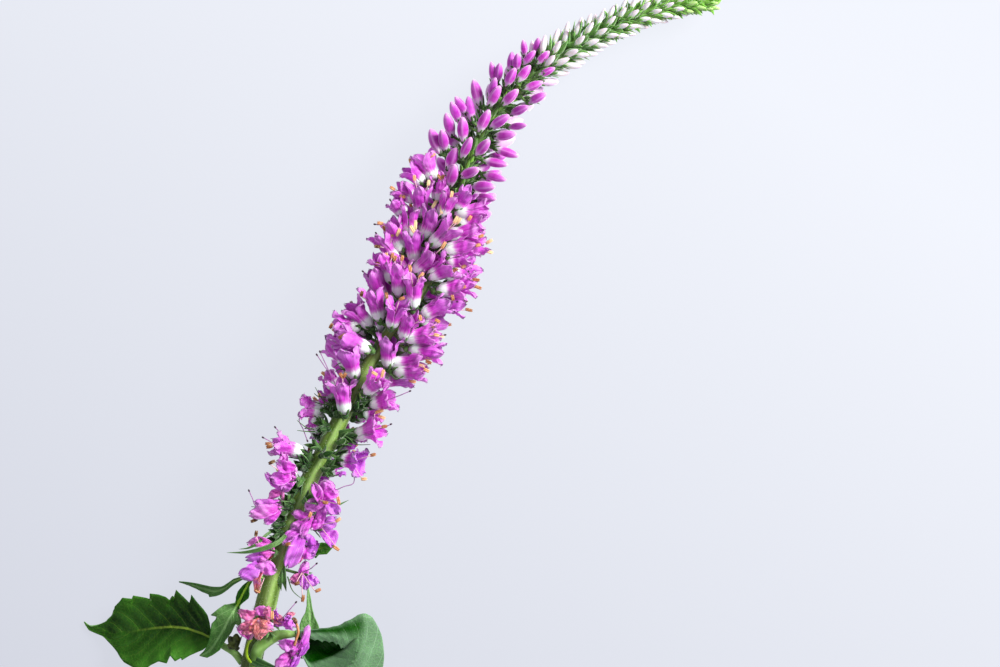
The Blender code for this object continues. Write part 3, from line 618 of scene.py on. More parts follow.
# Stalks: radius, and the radius of the cup at the end. In cup radii, how far behind the flower's foot the
# stalk ends and the cup starts, and how long the cup is.
STALK_ENDS = 0.6
CUP_STARTS = 1.55
CUP_LENGTH = 1.9
OPEN_STALK = (0.3 * MM, 0.75 * MM)
PINK_STALK = (0.26 * MM, 0.5 * MM)
WHITE_STALK = (0.22 * MM, 0.36 * MM)
LOOSE_STALK = (0.3 * MM, 0.65 * MM)
EMPTY_STALK = (0.3 * MM, 0.6 * MM)
CUP_PROFILE = [(0.0, 0.0), (0.05, 0.5), (0.3, 0.9), (0.6, 1.0), (0.85, 0.8), (1.0, 0.0)]

# Buds and pollen sacs as shares of their length and of their radius.
PINK_BUD = [
    (0.0, 0.0), (0.03, 0.45), (0.1, 0.62), (0.2, 0.76), (0.31, 0.92), (0.43, 1.0), (0.55, 0.99),
    (0.67, 0.9), (0.78, 0.75), (0.88, 0.55), (0.96, 0.3), (1.0, 0.0),
]
WHITE_BUD = [
    (0.0, 0.0), (0.05, 0.5), (0.2, 0.78), (0.42, 1.0), (0.62, 0.96), (0.8, 0.72), (0.93, 0.38), (1.0, 0.0),
]
ANTHER_PROFILE = [(0.0, 0.0), (0.06, 0.5), (0.22, 0.9), (0.5, 1.0), (0.78, 0.86), (0.94, 0.45), (1.0, 0.0)]
ANTHER_LENGTH = 1.7 * MM
ANTHER_RADIUS = 0.2 * MM
ANTHER_HALF_GAP = 0.15 * MM
FILAMENT_RADIUS = 0.1 * MM

# In the picture's steps, the least length of a pollen sac that was traced. A thread longer than this would
# come from another flower, and is left out.
SHORTEST_ANTHER = 6.5
LONGEST_FILAMENT = 9 * MM

# Narrow leaves: their width along them, how far they bend to a gutter, thickness and columns of points.
Blade = namedtuple("Blade", "shape bend thickness columns")
SEPAL_SHAPE = [(0.0, 0.55), (0.25, 0.95), (0.5, 1.0), (0.75, 0.66), (0.92, 0.25), (1.0, 0.05)]
BLADE_SHAPE = [(0.0, 0.5), (0.2, 0.9), (0.45, 1.0), (0.7, 0.68), (0.9, 0.25), (1.0, 0.04)]
SEPAL = Blade(SEPAL_SHAPE, 0.7, 0.14 * MM, 5)
SMALL_LEAF = Blade(BLADE_SHAPE, 0.6, 0.14 * MM, 5)
BRACT = Blade(BLADE_SHAPE, 0.6, 0.16 * MM, 5)
LONG_BRACT = Blade(BLADE_SHAPE, 0.7, 0.2 * MM, 7)
FORK_BLADE = Blade(BLADE_SHAPE, 0.6, 0.2 * MM, 9)

# A bract springs from inside the stem, at this share of its radius and a little below the flower.
BRACT_ROWS = 7
BRACT_DEPTH = 0.8
BRACT_BELOW = 0.5 * MM

# The small bracts that cover the stem among the buds: distances up the spike in mm and how many.
COVER_FROM = 90
COVER_TO = 158
COVER_BRACTS = 270

# The skin of the stem, and its hairs, which have three corners a third of a turn apart.
STEM_SIDES = 30
STEM_STEP = 0.8 * MM
STEM_RIBS = 5
HAIRS = 2600
HAIRS_FROM = 0.5 * MM
HAIRS_TO = STEM_LENGTH + 60 * MM
HAIR_LENGTH = 0.55 * MM
HAIR_RADIUS = 0.035 * MM
HAIR_CORNER = 2.094

# Side veins: how they curve forwards, how far, and how far the two halves are out of step. Between them
# lies a net of cells, this many to a metre.
VEIN_CURVE = 1.15
VEIN_SLANT = 0.32
VEIN_OFFSET = 0.45
LEAF_CELLS = 1100.0

# How far a blade bulges between its veins, and the width from which on it does so in full and shows the
# whole of its midrib. The curled leaf bulges less and has this many teeth of this length.
BULGE = 0.3 * MM
FULL_BULGE_WIDTH = 9 * MM
FULL_MIDRIB_WIDTH = 20 * MM
CURLED_BULGE = 0.13 * MM
CURLED_TEETH = 15
CURLED_TOOTH = 0.9 * MM

# The values at each point of a skin, which the materials read.
VALUES = ("along", "across", "tone", "age", "side")

# The upward direction, and how nearly parallel to it a line has no clear direction across it.
UP = np.array([0, 0, 1.0])
NEARLY_UPRIGHT = 0.05

# The pieces of the spike and those of the right leaf, with their material and slot.
SPIKE_PIECES = {
    "petals_loose": ("loose_petal", "floret_pink"),
    "petals_dense": ("petal", "floret_pink"),
    "petals_upper": ("petal", "floret_pink"),
    "pink_buds": ("pink_bud", "floret_pink"),
    "white_buds": ("white_bud", "floret_pink"),
    "calyces": ("small_green", "leaf_light"),
    "small_leaves": ("small_green", "leaf_light"),
    "filaments": ("filament", "floret_pink"),
    "anthers": ("anther", "floret_pink"),
}
RIGHT_LEAF_PIECES = {
    "fork_leaf": ("small_green", "leaf_dark"),
    "thin_stalk": ("thin_stalk", "leaf_light"),
    "large_right_leaf": ("curled_leaf", "leaf_dark"),
    "large_right_leaf_stalk": ("green_stalk", "leaf_light"),
}

# Colours as they look on a screen, by share of the length, or by age for the pollen sacs, and what
# light of red, green and blue glows through petals and stems.
PETAL_COLOURS = [
    (0.0, 224, 230, 212), (0.10, 246, 244, 248), (0.33, 250, 244, 252), (0.41, 226, 136, 218),
    (0.50, 204, 48, 192), (0.76, 216, 80, 212), (1.0, 240, 146, 240),
]
PINK_BUD_COLOURS = [
    (0.0, 214, 214, 200), (0.18, 242, 230, 244), (0.34, 206, 92, 198), (0.54, 186, 44, 176),
    (0.80, 210, 96, 206), (1.0, 246, 182, 232),
]
WHITE_BUD_COLOURS = [
    (0.0, 178, 205, 150), (0.18, 230, 230, 222), (0.6, 246, 240, 244), (0.85, 246, 222, 238),
    (1.0, 246, 202, 232),
]
ANTHER_COLOURS = [(0.0, 242, 212, 164), (0.4, 216, 152, 108), (0.75, 160, 96, 60), (1.0, 84, 48, 32)]
PINK_GLOW = (1.0, 0.35, 0.9)
STEM_GLOW = (0.6, 1.0, 0.3)

# Petals: how strong the dark streaks, the lilac and the pale patches are.
PETAL_PAINTS = [("petal", 0.66, 0.2, 0.2), ("loose_petal", 0.8, 0.5, 0.42)]
# Leaf stalks: dark and light.
STALK_PAINTS = [
    ("green_stalk", (58, 94, 14), (140, 180, 100)),
    ("thin_stalk", (112, 140, 10), (150, 176, 40)),
]
# Leaves: the upper side dark and light, its veins, the underside, its veins, how many side veins, and how
# strong the painted highlights on one half and at the tip are, from 0 to 1.
LEAF_PAINTS = [
    ("dark_leaf", (0, 32, 0), (80, 146, 46), (140, 168, 60), (110, 152, 92), (156, 192, 126), 8, 1.0),
    ("curled_leaf", (2, 54, 0), (32, 94, 8), (66, 118, 36), (126, 170, 124), (144, 186, 142), 9, 0.0),
    ("light_leaf", (4, 50, 2), (44, 104, 20), (124, 164, 44), (104, 150, 84), (146, 188, 124), 5, 0.0),
]
# Plain parts: the colour, how rough, and where they differ the grain's scale and how much darker it gets.
PLAIN_PAINTS = [
    ("dark_green", (84, 96, 40), 0.5, 900.0, 0.75),
    ("filament", (236, 190, 200), 0.5),
    ("style", (170, 110, 170), 0.5),
    ("thread", (70, 40, 60), 0.5),
    ("hair", (222, 230, 206), 0.6),
]

# The surface, the sky, the lights as name, place in metres, size, power and colour, and the camera.
FLOOR_SIZE = 6
FLOOR_GLOW = 0.92
SKY_COLOUR = (0.93, 0.95, 1.0, 1)
SKY_STRENGTH = 0.30
LIT_POINT = (0.02, 0.03, 0)
AREA_LIGHTS = [
    ("window", (0.72, 0.42, 0.5), 0.4, 18.5, (1.0, 0.99, 0.97)),
    ("fill", (-0.5, -0.3, 0.8), 0.6, 1.6, (0.93, 0.95, 1.0)),
]
LENS, SENSOR = 120.0, 36.0
MIDDLE_HEIGHT = 9 * MM

Flower = namedtuple("Flower", "kind along root base direction spin length width")


def picture_point(right, down, height=0.0):
    """A point in metres from steps right and down in the picture and a height in mm."""
    return Vector((PICTURE_LEFT + right * PICTURE_STEP, PICTURE_TOP - down * PICTURE_STEP, height * MM))


def ends_in_picture(row):
    """The two points of a row that begins with right, down, right, down."""
    return picture_point(*row[:2]), picture_point(*row[2:4])


def catmull_rom(points, share):
    """The point at share, 0 to 1, of a smooth curve through the points."""
    spans = len(points) - 1
    place = min(max(share, 0.0), 1.0) * spans
    i = min(int(place), spans - 1)
    t = place - i
    p1, p2 = points[i], points[i + 1]
    p0 = points[i - 1] if i > 0 else p1 * 2 - p2
    p3 = points[i + 2] if i + 2 <= spans else p2 * 2 - p1
    return (
        p1 * 2
        + (p2 - p0) * t
        + (p0 * 2 - p1 * 5 + p2 * 4 - p3) * t**2
        + (p1 * 3 - p0 - p2 * 3 + p3) * t**3
    ) / 2


def curve_points(points, count):
    """Points on a smooth curve through a few points."""
    marks = [Vector(point) for point in points]
    return np.array([catmull_rom(marks, i / (count - 1)) for i in range(count)])


def picture_curve(rows, count):
    """Points on a smooth curve through rows of right, down and height."""
    return curve_points([picture_point(*row) for row in rows], count)


def grown_at(place):
    """How the flowers are at this distance up the spike in mm."""
    place = min(max(place, GROWTH[0][0]), GROWTH[-1][0])
    for low, high in zip(GROWTH, GROWTH[1:]):
        if place <= high[0]:
            share = (place - low[0]) / (high[0] - low[0])
            return Growth(*[a + (b - a) * share for a, b in zip(low[1], high[1])])


def lookup(table, places):
    """The values at these places, from rows of a place and a value."""
    places = np.asarray(places, float)
    return np.interp(places, [row[0] for row in table], [row[1] for row in table])


class Axis:
    """The centre line of stem and spike, by distance from the cut end."""

    STEPS = 600

    def __init__(self):
        marks = [picture_point(*row[:3]) for row in AXIS_POINTS]
        self.points = [catmull_rom(marks, i / self.STEPS) for i in range(self.STEPS + 1)]
        self.at = [0.0]
        for a, b in zip(self.points, self.points[1:]):
            self.at.append(self.at[-1] + (b - a).length)
        self.length = self.at[-1]

    def place(self, distance):
        i = min(max(bisect.bisect(self.at, distance) - 1, 0), self.STEPS - 1)
        return i, (distance - self.at[i]) / (self.at[i + 1] - self.at[i])

    def point(self, distance):
        i, share = self.place(distance)
        return self.points[i].lerp(self.points[i + 1], share)

    def radius(self, distance):
        i, share = self.place(distance)
        spot = (i + share) / self.STEPS * (len(AXIS_POINTS) - 1)
        j = min(max(int(spot), 0), len(AXIS_POINTS) - 2)
        low, high = AXIS_POINTS[j][3], AXIS_POINTS[j + 1][3]
        return (low + (high - low) * (spot - j)) * MM

    def frame(self, distance):
        """The point there, the tangent, the direction to the right of it and the upward one."""
        step = 0.4 * MM
        tangent = (self.point(distance + step) - self.point(distance - step)).normalized()
        right = tangent.cross(Vector(UP)).normalized()
        return self.point(distance), tangent, right, right.cross(tangent)

    def outward(self, distance, turn):
        """The point there, the tangent, the direction at this turn round it, and the upward one."""
        point, tangent, right, up = self.frame(distance)
        return point, tangent, right * math.cos(turn) + up * math.sin(turn), up

    def nearest(self, spot):
        """The distance of the point that lies nearest to spot in plan."""
        gaps = [(point.xy - spot.xy).length for point in self.points]
        return self.at[gaps.index(min(gaps))]


AXIS = Axis()


def rising(heading, rise):
    """The level direction heading, tilted up by rise in degrees."""
    tilt = math.radians(rise)
    level = Vector((heading.x, heading.y, 0)).normalized()
    return level * math.cos(tilt) + Vector((0, 0, math.sin(tilt)))


def above_floor(base, direction, length, width):
    """The direction, lifted until the lowest petal only touches the surface."""
    lowest = FLOOR_CLEARANCE + width / 2 * FLARE_MARGIN
    least = max(-STEEPEST, min(STEEPEST, (lowest - base.z) / length))
    if direction.z >= least:
        return direction
    level = Vector((direction.x, direction.y, 0)).normalized()
    return level * math.sqrt(1 - least**2) + Vector((0, 0, least))


def off_axis(spot, stands_off):
    """The point over spot that stands off the axis, the axis point beside it, and its distance."""
    distance = AXIS.nearest(spot)
    point = AXIS.point(distance)
    offset = (spot.xy - point.xy).length
    stand = AXIS.radius(distance) + stands_off
    height = math.sqrt(max(stand**2 - offset**2, (FAR_STALK_RISE * offset) ** 2))
    return Vector((spot.x, spot.y, point.z + height)), point, distance


def flower_in_picture(kind, row, rise, width, draw):
    """A flower of the upper side: its stalk rises to where its tube stands off the axis."""
    start, end = ends_in_picture(row)
    base, point, distance = off_axis(start, TUBE_STANDS_OFF)
    length = (end - start).xy.length / math.cos(math.radians(rise))
    direction = above_floor(base, rising(end - start, rise), length, width)
    spin = draw.uniform(0, math.tau)
    return Flower(kind, distance - STEM_LENGTH, point, base, direction, spin, length, width)


def bud_rise(row):
    """How steeply a bud must rise to look as short as it does, in degrees."""
    start, end = ends_in_picture(row)
    along = AXIS.nearest(start) - STEM_LENGTH
    length = grown_at(along / MM).length * BUD_STRETCH * MM
    return math.degrees(math.acos(min(1.0, (end - start).xy.length / length)))


def seen_flowers(draw):
    """The flowers and pink buds of the upper side, where the picture has them."""
    found = [flower_in_picture("seen", row, row[4], row[5] * MM, draw) for row in SEEN_FLOWERS]
    found += [flower_in_picture("seen_bud", row, bud_rise(row), row[4] * MM, draw) for row in SEEN_BUDS]
    return found


def ruled_flower(kind, along, turn, grown, draw):
    """A flower at this angle round the axis, which leans out and is pulled a little towards +Y."""
    around = turn + draw.uniform(-1, 1) * ANGLE_JITTER
    point, tangent, radial, _ = AXIS.outward(STEM_LENGTH + along, around)
    lean = math.radians(grown.lean + draw.uniform(-1, 1) * LEAN_JITTER)
    pull = Vector((0, UPWARD_PULL * min(1.0, grown.width / FULL_PULL_WIDTH), 0))
    direction = (tangent * math.cos(lean) + radial * math.sin(lean) + pull).normalized()
    size = (1 + draw.uniform(-1, 1) * SIZE_JITTER) * MM
    base = point + radial * (AXIS.radius(STEM_LENGTH + along) + grown.stalk * MM)
    length, width = grown.length * size, grown.width * size
    direction = above_floor(base, direction, length, width)
    spin = draw.uniform(0, math.tau)
    return Flower(kind, along, point, base, direction, spin, length, width), math.sin(around)


def kind_at(along):
    """What kind of flower or bud stands at this distance up the spike."""
    if along < BUDS_FROM:
        return "open"
    if along < WHITE_FROM:
        return "bud"
    return "white" if along < TIP_FROM else "tip"


def shown_height(kind, along):
    """How high round the axis a ruled flower may stand, from -1 at the bottom to 1 at the top."""
    if kind == "bud":
        return BUD_HIDDEN_BELOW
    if kind != "open":
        return 1.0
    return HIDDEN_BELOW if along >= OPEN_FROM else LOOSE_HIDDEN_BELOW


def spike_flowers():
    """All flowers and buds of the spike: those seen one by one, the others by the golden angle."""
    draw = random.Random(SEED)
    found = seen_flowers(draw)
    along, turn = LOOSE_HIDDEN_FROM, 0.0
    end = AXIS.length - STEM_LENGTH - BARE_TIP
    while along < end:
        grown = grown_at(along / MM)
        kind = kind_at(along)
        flower, height = ruled_flower(kind, along, turn, grown, draw)
        if height < shown_height(kind, along):
            found.append(flower)
        along += MM / grown.density
        turn += GOLDEN_ANGLE
    return found


class Skin:
    """Collects the points and faces of one piece, with the values that its material reads."""

    def __init__(self):
        self.points = []
        self.faces = []
        self.values = {name: [] for name in VALUES}
        self.count = 0

    def add(self, points, faces, **values):
        points = np.asarray(points, float).reshape(-1, 3)
        self.points.append(points)
        self.faces += [face + self.count for face in faces]
        for name in VALUES:
            value = np.asarray(values.get(name, 0.0), float).reshape(-1)
            self.values[name].append(np.broadcast_to(value, len(points)))
        self.count += len(points)

    def piece(self, name, material, slot, *nodes):
        """The object, smooth and above the surface. It stands for the CAD nodes that it names."""
        points = np.concatenate(self.points)
        points[:, 2] = np.maximum(points[:, 2], FLOOR_GAP)
        faces = [row for face in self.faces for row in face.tolist()]
        data = bpy.data.meshes.new(name)
        data.from_pydata(points.tolist(), [], faces)
        for value in VALUES:
            layer = data.attributes.new(value, "FLOAT", "POINT")
            layer.data.foreach_set("value", np.concatenate(self.values[value]).astype(np.float32))
        data.shade_smooth()
        data.materials.append(material)
        obj = bpy.data.objects.new(name, data)
        bpy.context.scene.collection.objects.link(obj)
        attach(obj, "root")
        if nodes:
            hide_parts(*nodes)


def make_pieces(skins, table, paints, node):
    """The pieces of a table of names with their material and slot, all for one CAD node."""
    for name, (paint, slot) in table.items():
        skins[name].piece(name, paints[paint], slot, node)


def quads(ids):
    """The four corners of each cell of a grid of point numbers."""
    return np.stack([ids[:-1, :-1], ids[:-1, 1:], ids[1:, 1:], ids[1:, :-1]], -1).reshape(-1, 4)


def unit(vectors):
    return vectors / np.maximum(np.linalg.norm(vectors, axis=-1, keepdims=True), 1e-12)


def add_shell(skin, grid, normals, thickness, **values):
    """A thin closed skin on both sides of a grid of points. The two sides share the grid's edge.

    The value named side is 1 on the side that the normals point to and 0 on the other.
    """
    rows, columns = grid.shape[:2]
    inner = (slice(1, -1), slice(1, -1))
    lift = normals[inner] * thickness / 2
    top = grid.copy()
    top[inner] += lift
    low = grid[inner] - lift
    ids = np.arange(rows * columns).reshape(rows, columns)
    under = ids.copy()
    under[inner] = rows * columns + np.arange(low.shape[0] * low.shape[1]).reshape(low.shape[:2])
    i, j = rows // 2, columns // 2
    facing = np.cross(grid[i, j + 1] - grid[i, j - 1], grid[i + 1, j] - grid[i - 1, j]) @ normals[i, j]
    upper, lower = quads(ids), quads(under)
    if facing > 0:
        lower = lower[:, ::-1]
    else:
        upper = upper[:, ::-1]
    spread = {}
    for name, value in values.items():
        value = np.broadcast_to(np.asarray(value, float), (rows, columns))
        spread[name] = np.concatenate([value.reshape(-1), value[inner].reshape(-1)])
    spread["side"] = np.concatenate([np.ones(rows * columns), np.zeros(low[..., 0].size)])
    points = np.concatenate([top.reshape(-1, 3), low.reshape(-1, 3)])
    skin.add(points, [upper, lower], **spread)


def add_rings(skin, rings, start, end, **values):
    """A closed skin from the point start through rings of points to the point end."""
    count, sides = rings.shape[:2]
    ids = np.arange(count * sides).reshape(count, sides)
    closed = np.concatenate([ids, ids[:, :1]], 1)
    first, last = count * sides, count * sides + 1
    foot = np.stack([np.full(sides, first), closed[0, 1:], closed[0, :-1]], -1)
    head = np.stack([closed[-1, :-1], closed[-1, 1:], np.full(sides, last)], -1)
    points = np.concatenate([rings.reshape(-1, 3), [start], [end]])
    spread = {}
    for name, value in values.items():
        value = np.asarray(value, float)
        if value.ndim == 1:
            value = value[:, None]
        value = np.broadcast_to(value, (count, sides))
        spread[name] = np.concatenate([value.reshape(-1), [value[0].mean()], [value[-1].mean()]])
    skin.add(points, [quads(closed), foot, head], **spread)


def frames_along(points):
    """For each point of a line, two directions across it that turn as little as possible."""
    tangents = unit(np.gradient(points, axis=0))
    side = np.cross(tangents[0], UP)
    if np.linalg.norm(side) < NEARLY_UPRIGHT:
        side = np.cross(tangents[0], [0, 1.0, 0])
    sides = []
    for tangent in tangents:
        side = unit(side - tangent * (side @ tangent))
        sides.append(side)
    sides = np.array(sides)
    return sides, np.cross(sides, tangents)


def turns_of(sides):
    """The angles of the corners of a ring."""
    return np.arange(sides) * math.tau / sides


def ring_directions(turns, across, up):
    """At each point of a line, the directions at these turns, from its two directions across it."""
    return np.cos(turns)[None, :, None] * across[:, None] + np.sin(turns)[None, :, None] * up[:, None]


def add_pipe(skin, points, radii, sides=6, **values):
    """A closed tube through the points. The value named along runs from 0 to 1 unless it is given."""
    points = np.asarray(points, float)
    radii = np.broadcast_to(np.asarray(radii, float), len(points))
    ring = ring_directions(turns_of(sides), *frames_along(points))
    rings = points[:, None] + ring * radii[:, None, None]
    values.setdefault("along", np.linspace(0, 1, len(points)))
    add_rings(skin, rings, points[0], points[-1], **values)


def frame_of(direction, spin=0.0):
    """A turned frame whose last column is the direction."""
    turned = Vector(direction).to_track_quat("Z", "Y").to_matrix() @ Matrix.Rotation(spin, 3, "Z")
    return np.array(turned)


def add_spindle(skin, base, direction, spin, profile, length, radius, sides, ridges=0.0, **values):
    """A turned body with a profile of shares of its length and of its radius, with four soft ridges."""
    turned = frame_of(direction, spin)
    turns = turns_of(sides)
    shares = np.array(profile)
    swell = 1 + ridges * (np.abs(np.cos(turns * 2)) - 0.6)
    ring = np.stack([np.cos(turns), np.sin(turns)], -1) * swell[:, None]
    inner = shares[1:-1]
    local = np.zeros((len(inner), sides, 3))
    local[..., :2] = ring[None] * inner[:, 1][:, None, None] * radius
    local[..., 2] = inner[:, 0][:, None] * length
    ends = np.array([[0, 0, shares[0, 0] * length], [0, 0, shares[-1, 0] * length]])
    base = np.array(base)
    rings = local @ turned.T + base
    ends = ends @ turned.T + base
    values.setdefault("along", inner[:, 0])
    around = np.broadcast_to(turns / math.tau, (len(inner), sides))
    add_rings(skin, rings, ends[0], ends[1], across=around, **values)


def with_folds(height, share, cross, size, draw):
    """The height of a petal's skin with folds of this size, which fade out towards its foot."""
    for lengthwise, crosswise, amount in FOLDS:
        phase = draw.uniform(0, math.tau)
        fold = np.sin(share * math.tau * lengthwise + cross * math.pi * crosswise * 0.5 + phase)
        height = height + amount * size * np.minimum(1, share * 2.5) * fold
    return height


def tube_and_petal(length, flare, curl, draw):
    """The way out and up of the middle of a petal and of its part of the tube, row by row, in mm."""
    tube = TUBE_SHARE * length
    low = np.linspace(0, 1, TUBE_ROWS)
    high = np.linspace(0, 1, PETAL_ROWS + 1)[1:]
    angles = flare * np.clip(high / FLARE_ENDS, 0, 1) + curl * high**2
    step = (length - tube) * draw.uniform(0.9, 1.06) / PETAL_ROWS
    radius = TUBE_FOOT + (TUBE_MOUTH - TUBE_FOOT) * np.sin(np.minimum(low * 1.5, 1) * math.pi / 2)
    radius = np.concatenate([radius, radius[-1] + np.cumsum(np.sin(angles) * step)])
    height = np.concatenate([low * tube, tube + np.cumsum(np.cos(angles) * step)])
    return low, high, radius, height


def petal_grid(flower, turn, flare, curl, half_width, cup, crumple, draw):
    """The grid of one petal with its quarter of the tube, its normals inwards, and shares along it."""
    low, high, radius, height = tube_and_petal(flower.length / MM, flare, curl, draw)
    slope = np.arctan2(np.gradient(radius), np.gradient(height))
    half = np.concatenate([radius[:TUBE_ROWS] * TUBE_BEND, half_width * lookup(PETAL_WIDTH, high)])
    half[TUBE_ROWS] = max(half[TUBE_ROWS - 1], half[TUBE_ROWS])
    bend = np.concatenate([np.full(TUBE_ROWS, TUBE_BEND), TUBE_BEND * (1 - (1 - cup) * high)])
    bend = np.maximum(bend, LEAST_BEND)[:, None]
    half = half[:, None]
    cross = np.linspace(-1, 1, PETAL_COLUMNS)[None, :]
    sideways = half * np.sin(bend * cross) / bend
    inwards = half * (1 - np.cos(bend * cross)) / bend
    share = np.concatenate([low * 0, high])[:, None]
    inwards = inwards + GUTTER * share * np.cos(cross * math.pi * 2.8 + draw.uniform(-0.6, 0.6))
    inwards = with_folds(inwards, share, cross, crumple, draw)
    phase = draw.uniform(0, math.tau)
    ruffle = np.sin(share * math.tau * 1.7 + phase + cross * 2.0)
    inwards = inwards + RUFFLE * crumple * share * np.abs(cross) ** 3 * ruffle
    sideways = sideways + SWAY * crumple * share * np.sin(share * 9 + phase) * np.abs(cross) ** 2
    notch = np.sin(cross * 5.5 + phase) + 0.7 * np.sin(cross * 9.0 - phase)
    ragged = NOTCH * crumple * np.clip(share * 3 - 2, 0, 1) * notch * (1 - 0.5 * np.abs(cross))
    sin, cos = np.sin(slope)[:, None], np.cos(slope)[:, None]
    out = radius[:, None] - cos * inwards
    rise = height[:, None] + sin * inwards + cos * ragged
    grid = np.stack([out, sideways, rise], -1) * MM
    sine, cosine = np.sin(bend * cross), np.cos(bend * cross)
    normal = np.stack([-cos * cosine, -sine, sin * cosine], -1)
    turned = frame_of(flower.direction, flower.spin + turn)
    along = np.concatenate([low * TUBE_SHARE, TUBE_SHARE + high * (1 - TUBE_SHARE)])
    return grid @ turned.T + np.array(flower.base), unit(normal) @ turned.T, along[:, None], cross


def add_corolla(skin, flower, draw, crumple, deep):
    """An open flower: four petals whose feet make a short tube, the one at the back the widest.

    Where deep is more than 0, less of its foot is white.
    """
    lobe = flower.length * (1 - TUBE_SHARE) / MM
    reach = (flower.width / 2 / MM - TUBE_MOUTH) / lobe
    flare = math.asin(min(0.95, max(-0.1, reach)))
    tone = draw.random() + deep
    width = min(PETAL_HALF_WIDTH, 0.3 * flower.width / MM + 0.3)
    throat = (THROAT_PROFILE, flower.length * TUBE_SHARE, TUBE_FOOT * MM, 9)
    add_spindle(skin, flower.base, flower.direction, 0.0, *throat, along=THROAT_SHADE, tone=tone)
    for k in range(PETALS):
        half_width = width * (1.15 if k == 0 else draw.uniform(0.82, 1.0))
        leaning = flare * draw.uniform(0.55, 1.3) + math.radians(draw.uniform(-4, 8))
        curl = math.radians(draw.uniform(-10, 36) * crumple)
        turn = k * math.tau / PETALS + draw.uniform(-0.16, 0.16)
        cup = draw.uniform(0.35, 1.1)
        grid, normals, along, cross = petal_grid(flower, turn, leaning, curl, half_width, cup, crumple, draw)
        add_shell(skin, grid, normals, PETAL_THICKNESS, along=along, across=cross, tone=tone)


def add_blade(skin, line, up, width, blade, **values):
    """A narrow pointed blade along a line of points. Its upper side faces up and it is bent to a gutter."""
    line = np.asarray(line, float)
    tangents = unit(np.gradient(line, axis=0))
    side = unit(np.cross(np.broadcast_to(up, tangents.shape), tangents))
    normal = np.cross(tangents, side)
    shares = np.linspace(0, 1, len(line))
    half = width / 2 * lookup(blade.shape, shares)[:, None]
    cross = np.linspace(-1, 1, blade.columns)[None, :]
    sideways = half * np.sin(blade.bend * cross) / blade.bend
    inwards = half * (1 - np.cos(blade.bend * cross)) / blade.bend
    grid = line[:, None] + side[:, None] * sideways[..., None] + normal[:, None] * inwards[..., None]
    cos, sin = np.cos(blade.bend * cross)[..., None], np.sin(blade.bend * cross)[..., None]
    normals = unit(normal[:, None] * cos - side[:, None] * sin)
    add_shell(skin, grid, normals, blade.thickness, along=shares[:, None], across=cross, **values)


def add_calyx(skin, flower, draw, length, width, foot, spread, **values):
    """Four sepals round the foot of a flower or bud. They start at this distance from its middle."""
    turned = frame_of(flower.direction, flower.spin + SEPAL_TURN)
    base = np.array(flower.base)
    shares = np.linspace(0, 1, SEPAL_ROWS)
    for k in range(SEPALS):
        turn = k * math.tau / SEPALS + draw.uniform(-0.12, 0.12)
        outward = turned @ np.array([math.cos(turn), math.sin(turn), 0])
        long = length * draw.uniform(0.85, 1.15)
        lean = spread * draw.uniform(0.5, 1.4)
        out = foot * np.sin(np.clip(shares * 3 + 0.35, 0, 1.57)) + long * lean * shares**2
        rise = (shares - SEPAL_BEHIND) * long
        line = base + outward * out[:, None] + turned[:, 2] * rise[:, None]
        add_blade(skin, line, -outward, width, SEPAL, **values)


def add_stalk(skin, flower, radius, foot, **values):
    """The flower's own small stalk and the cup at its end, whose radius is foot."""
    root, base = np.array(flower.root), np.array(flower.base)
    ahead = np.array(flower.direction)
    end = base - ahead * foot * STALK_ENDS
    middle = root * 0.35 + end * 0.65 - ahead * 0.2 * MM
    add_pipe(skin, curve_points([root, middle, end], 6), radius, 6, **values)
    cup = base - ahead * foot * CUP_STARTS
    add_spindle(skin, cup, ahead, 0.0, CUP_PROFILE, foot * CUP_LENGTH, foot, 8, **values)


def add_stalk_leaves(skin, flower, draw, count, length, width, **values):
    """Small pointed leaves that spring from a bud's stalk and lie round its foot."""
    root, base = np.array(flower.root), np.array(flower.base)
    ahead = np.array(flower.direction)
    shares = np.linspace(0, 1, 6)[:, None]
    for _ in range(count):
        start = root + (base - root) * draw.uniform(0.35, 0.9)
        aside = np.array([draw.uniform(-1, 1), draw.uniform(-1, 1), draw.uniform(-0.4, 0.8)])
        heading = unit(ahead + unit(base - root) * 0.4 + aside * 0.55)
        long = length * draw.uniform(0.7, 1.2)
        line = start + heading * long * shares + aside * 0.25 * long * shares**2
        add_blade(skin, line, UP, width * draw.uniform(0.8, 1.2), SMALL_LEAF, **values)


def add_bract(skin, flower, draw, length, width, lean, **values):
    """The narrow leaf below a flower, which springs from the stalk's foot and curves outwards."""
    distance = AXIS.nearest(flower.root)
    point, tangent, _, _ = (np.array(value) for value in AXIS.frame(distance))
    outward = np.array(flower.base) - point
    outward = unit(outward - tangent * (outward @ tangent))
    start = point + outward * AXIS.radius(distance) * BRACT_DEPTH - tangent * BRACT_BELOW
    shares = np.linspace(0, 1, BRACT_ROWS)
    angle = lean + math.radians(draw.uniform(-12, 12))
    angle = angle + (shares - 0.5) * math.radians(draw.uniform(-10, 40))
    steps = tangent * np.cos(angle)[:, None] + outward * np.sin(angle)[:, None]
    steps[:, 2] += draw.uniform(-0.08, 0.12)
    line = start + np.cumsum(unit(steps), 0) * length / len(shares)
    add_blade(skin, line, -outward, width, BRACT, **values)


def add_anther(skin, middle, heading, length, age):
    """A pollen sac of two halves side by side."""
    heading = unit(np.asarray(heading, float))
    across = unit(np.cross(heading, [0.1, 0.2, 1.0]))
    start = np.asarray(middle) - heading * length / 2
    for sign in (-1, 1):
        base = start + across * sign * ANTHER_HALF_GAP
        add_spindle(skin, base, heading, 0.0, ANTHER_PROFILE, length, ANTHER_RADIUS, 8, age=age, tone=sign)


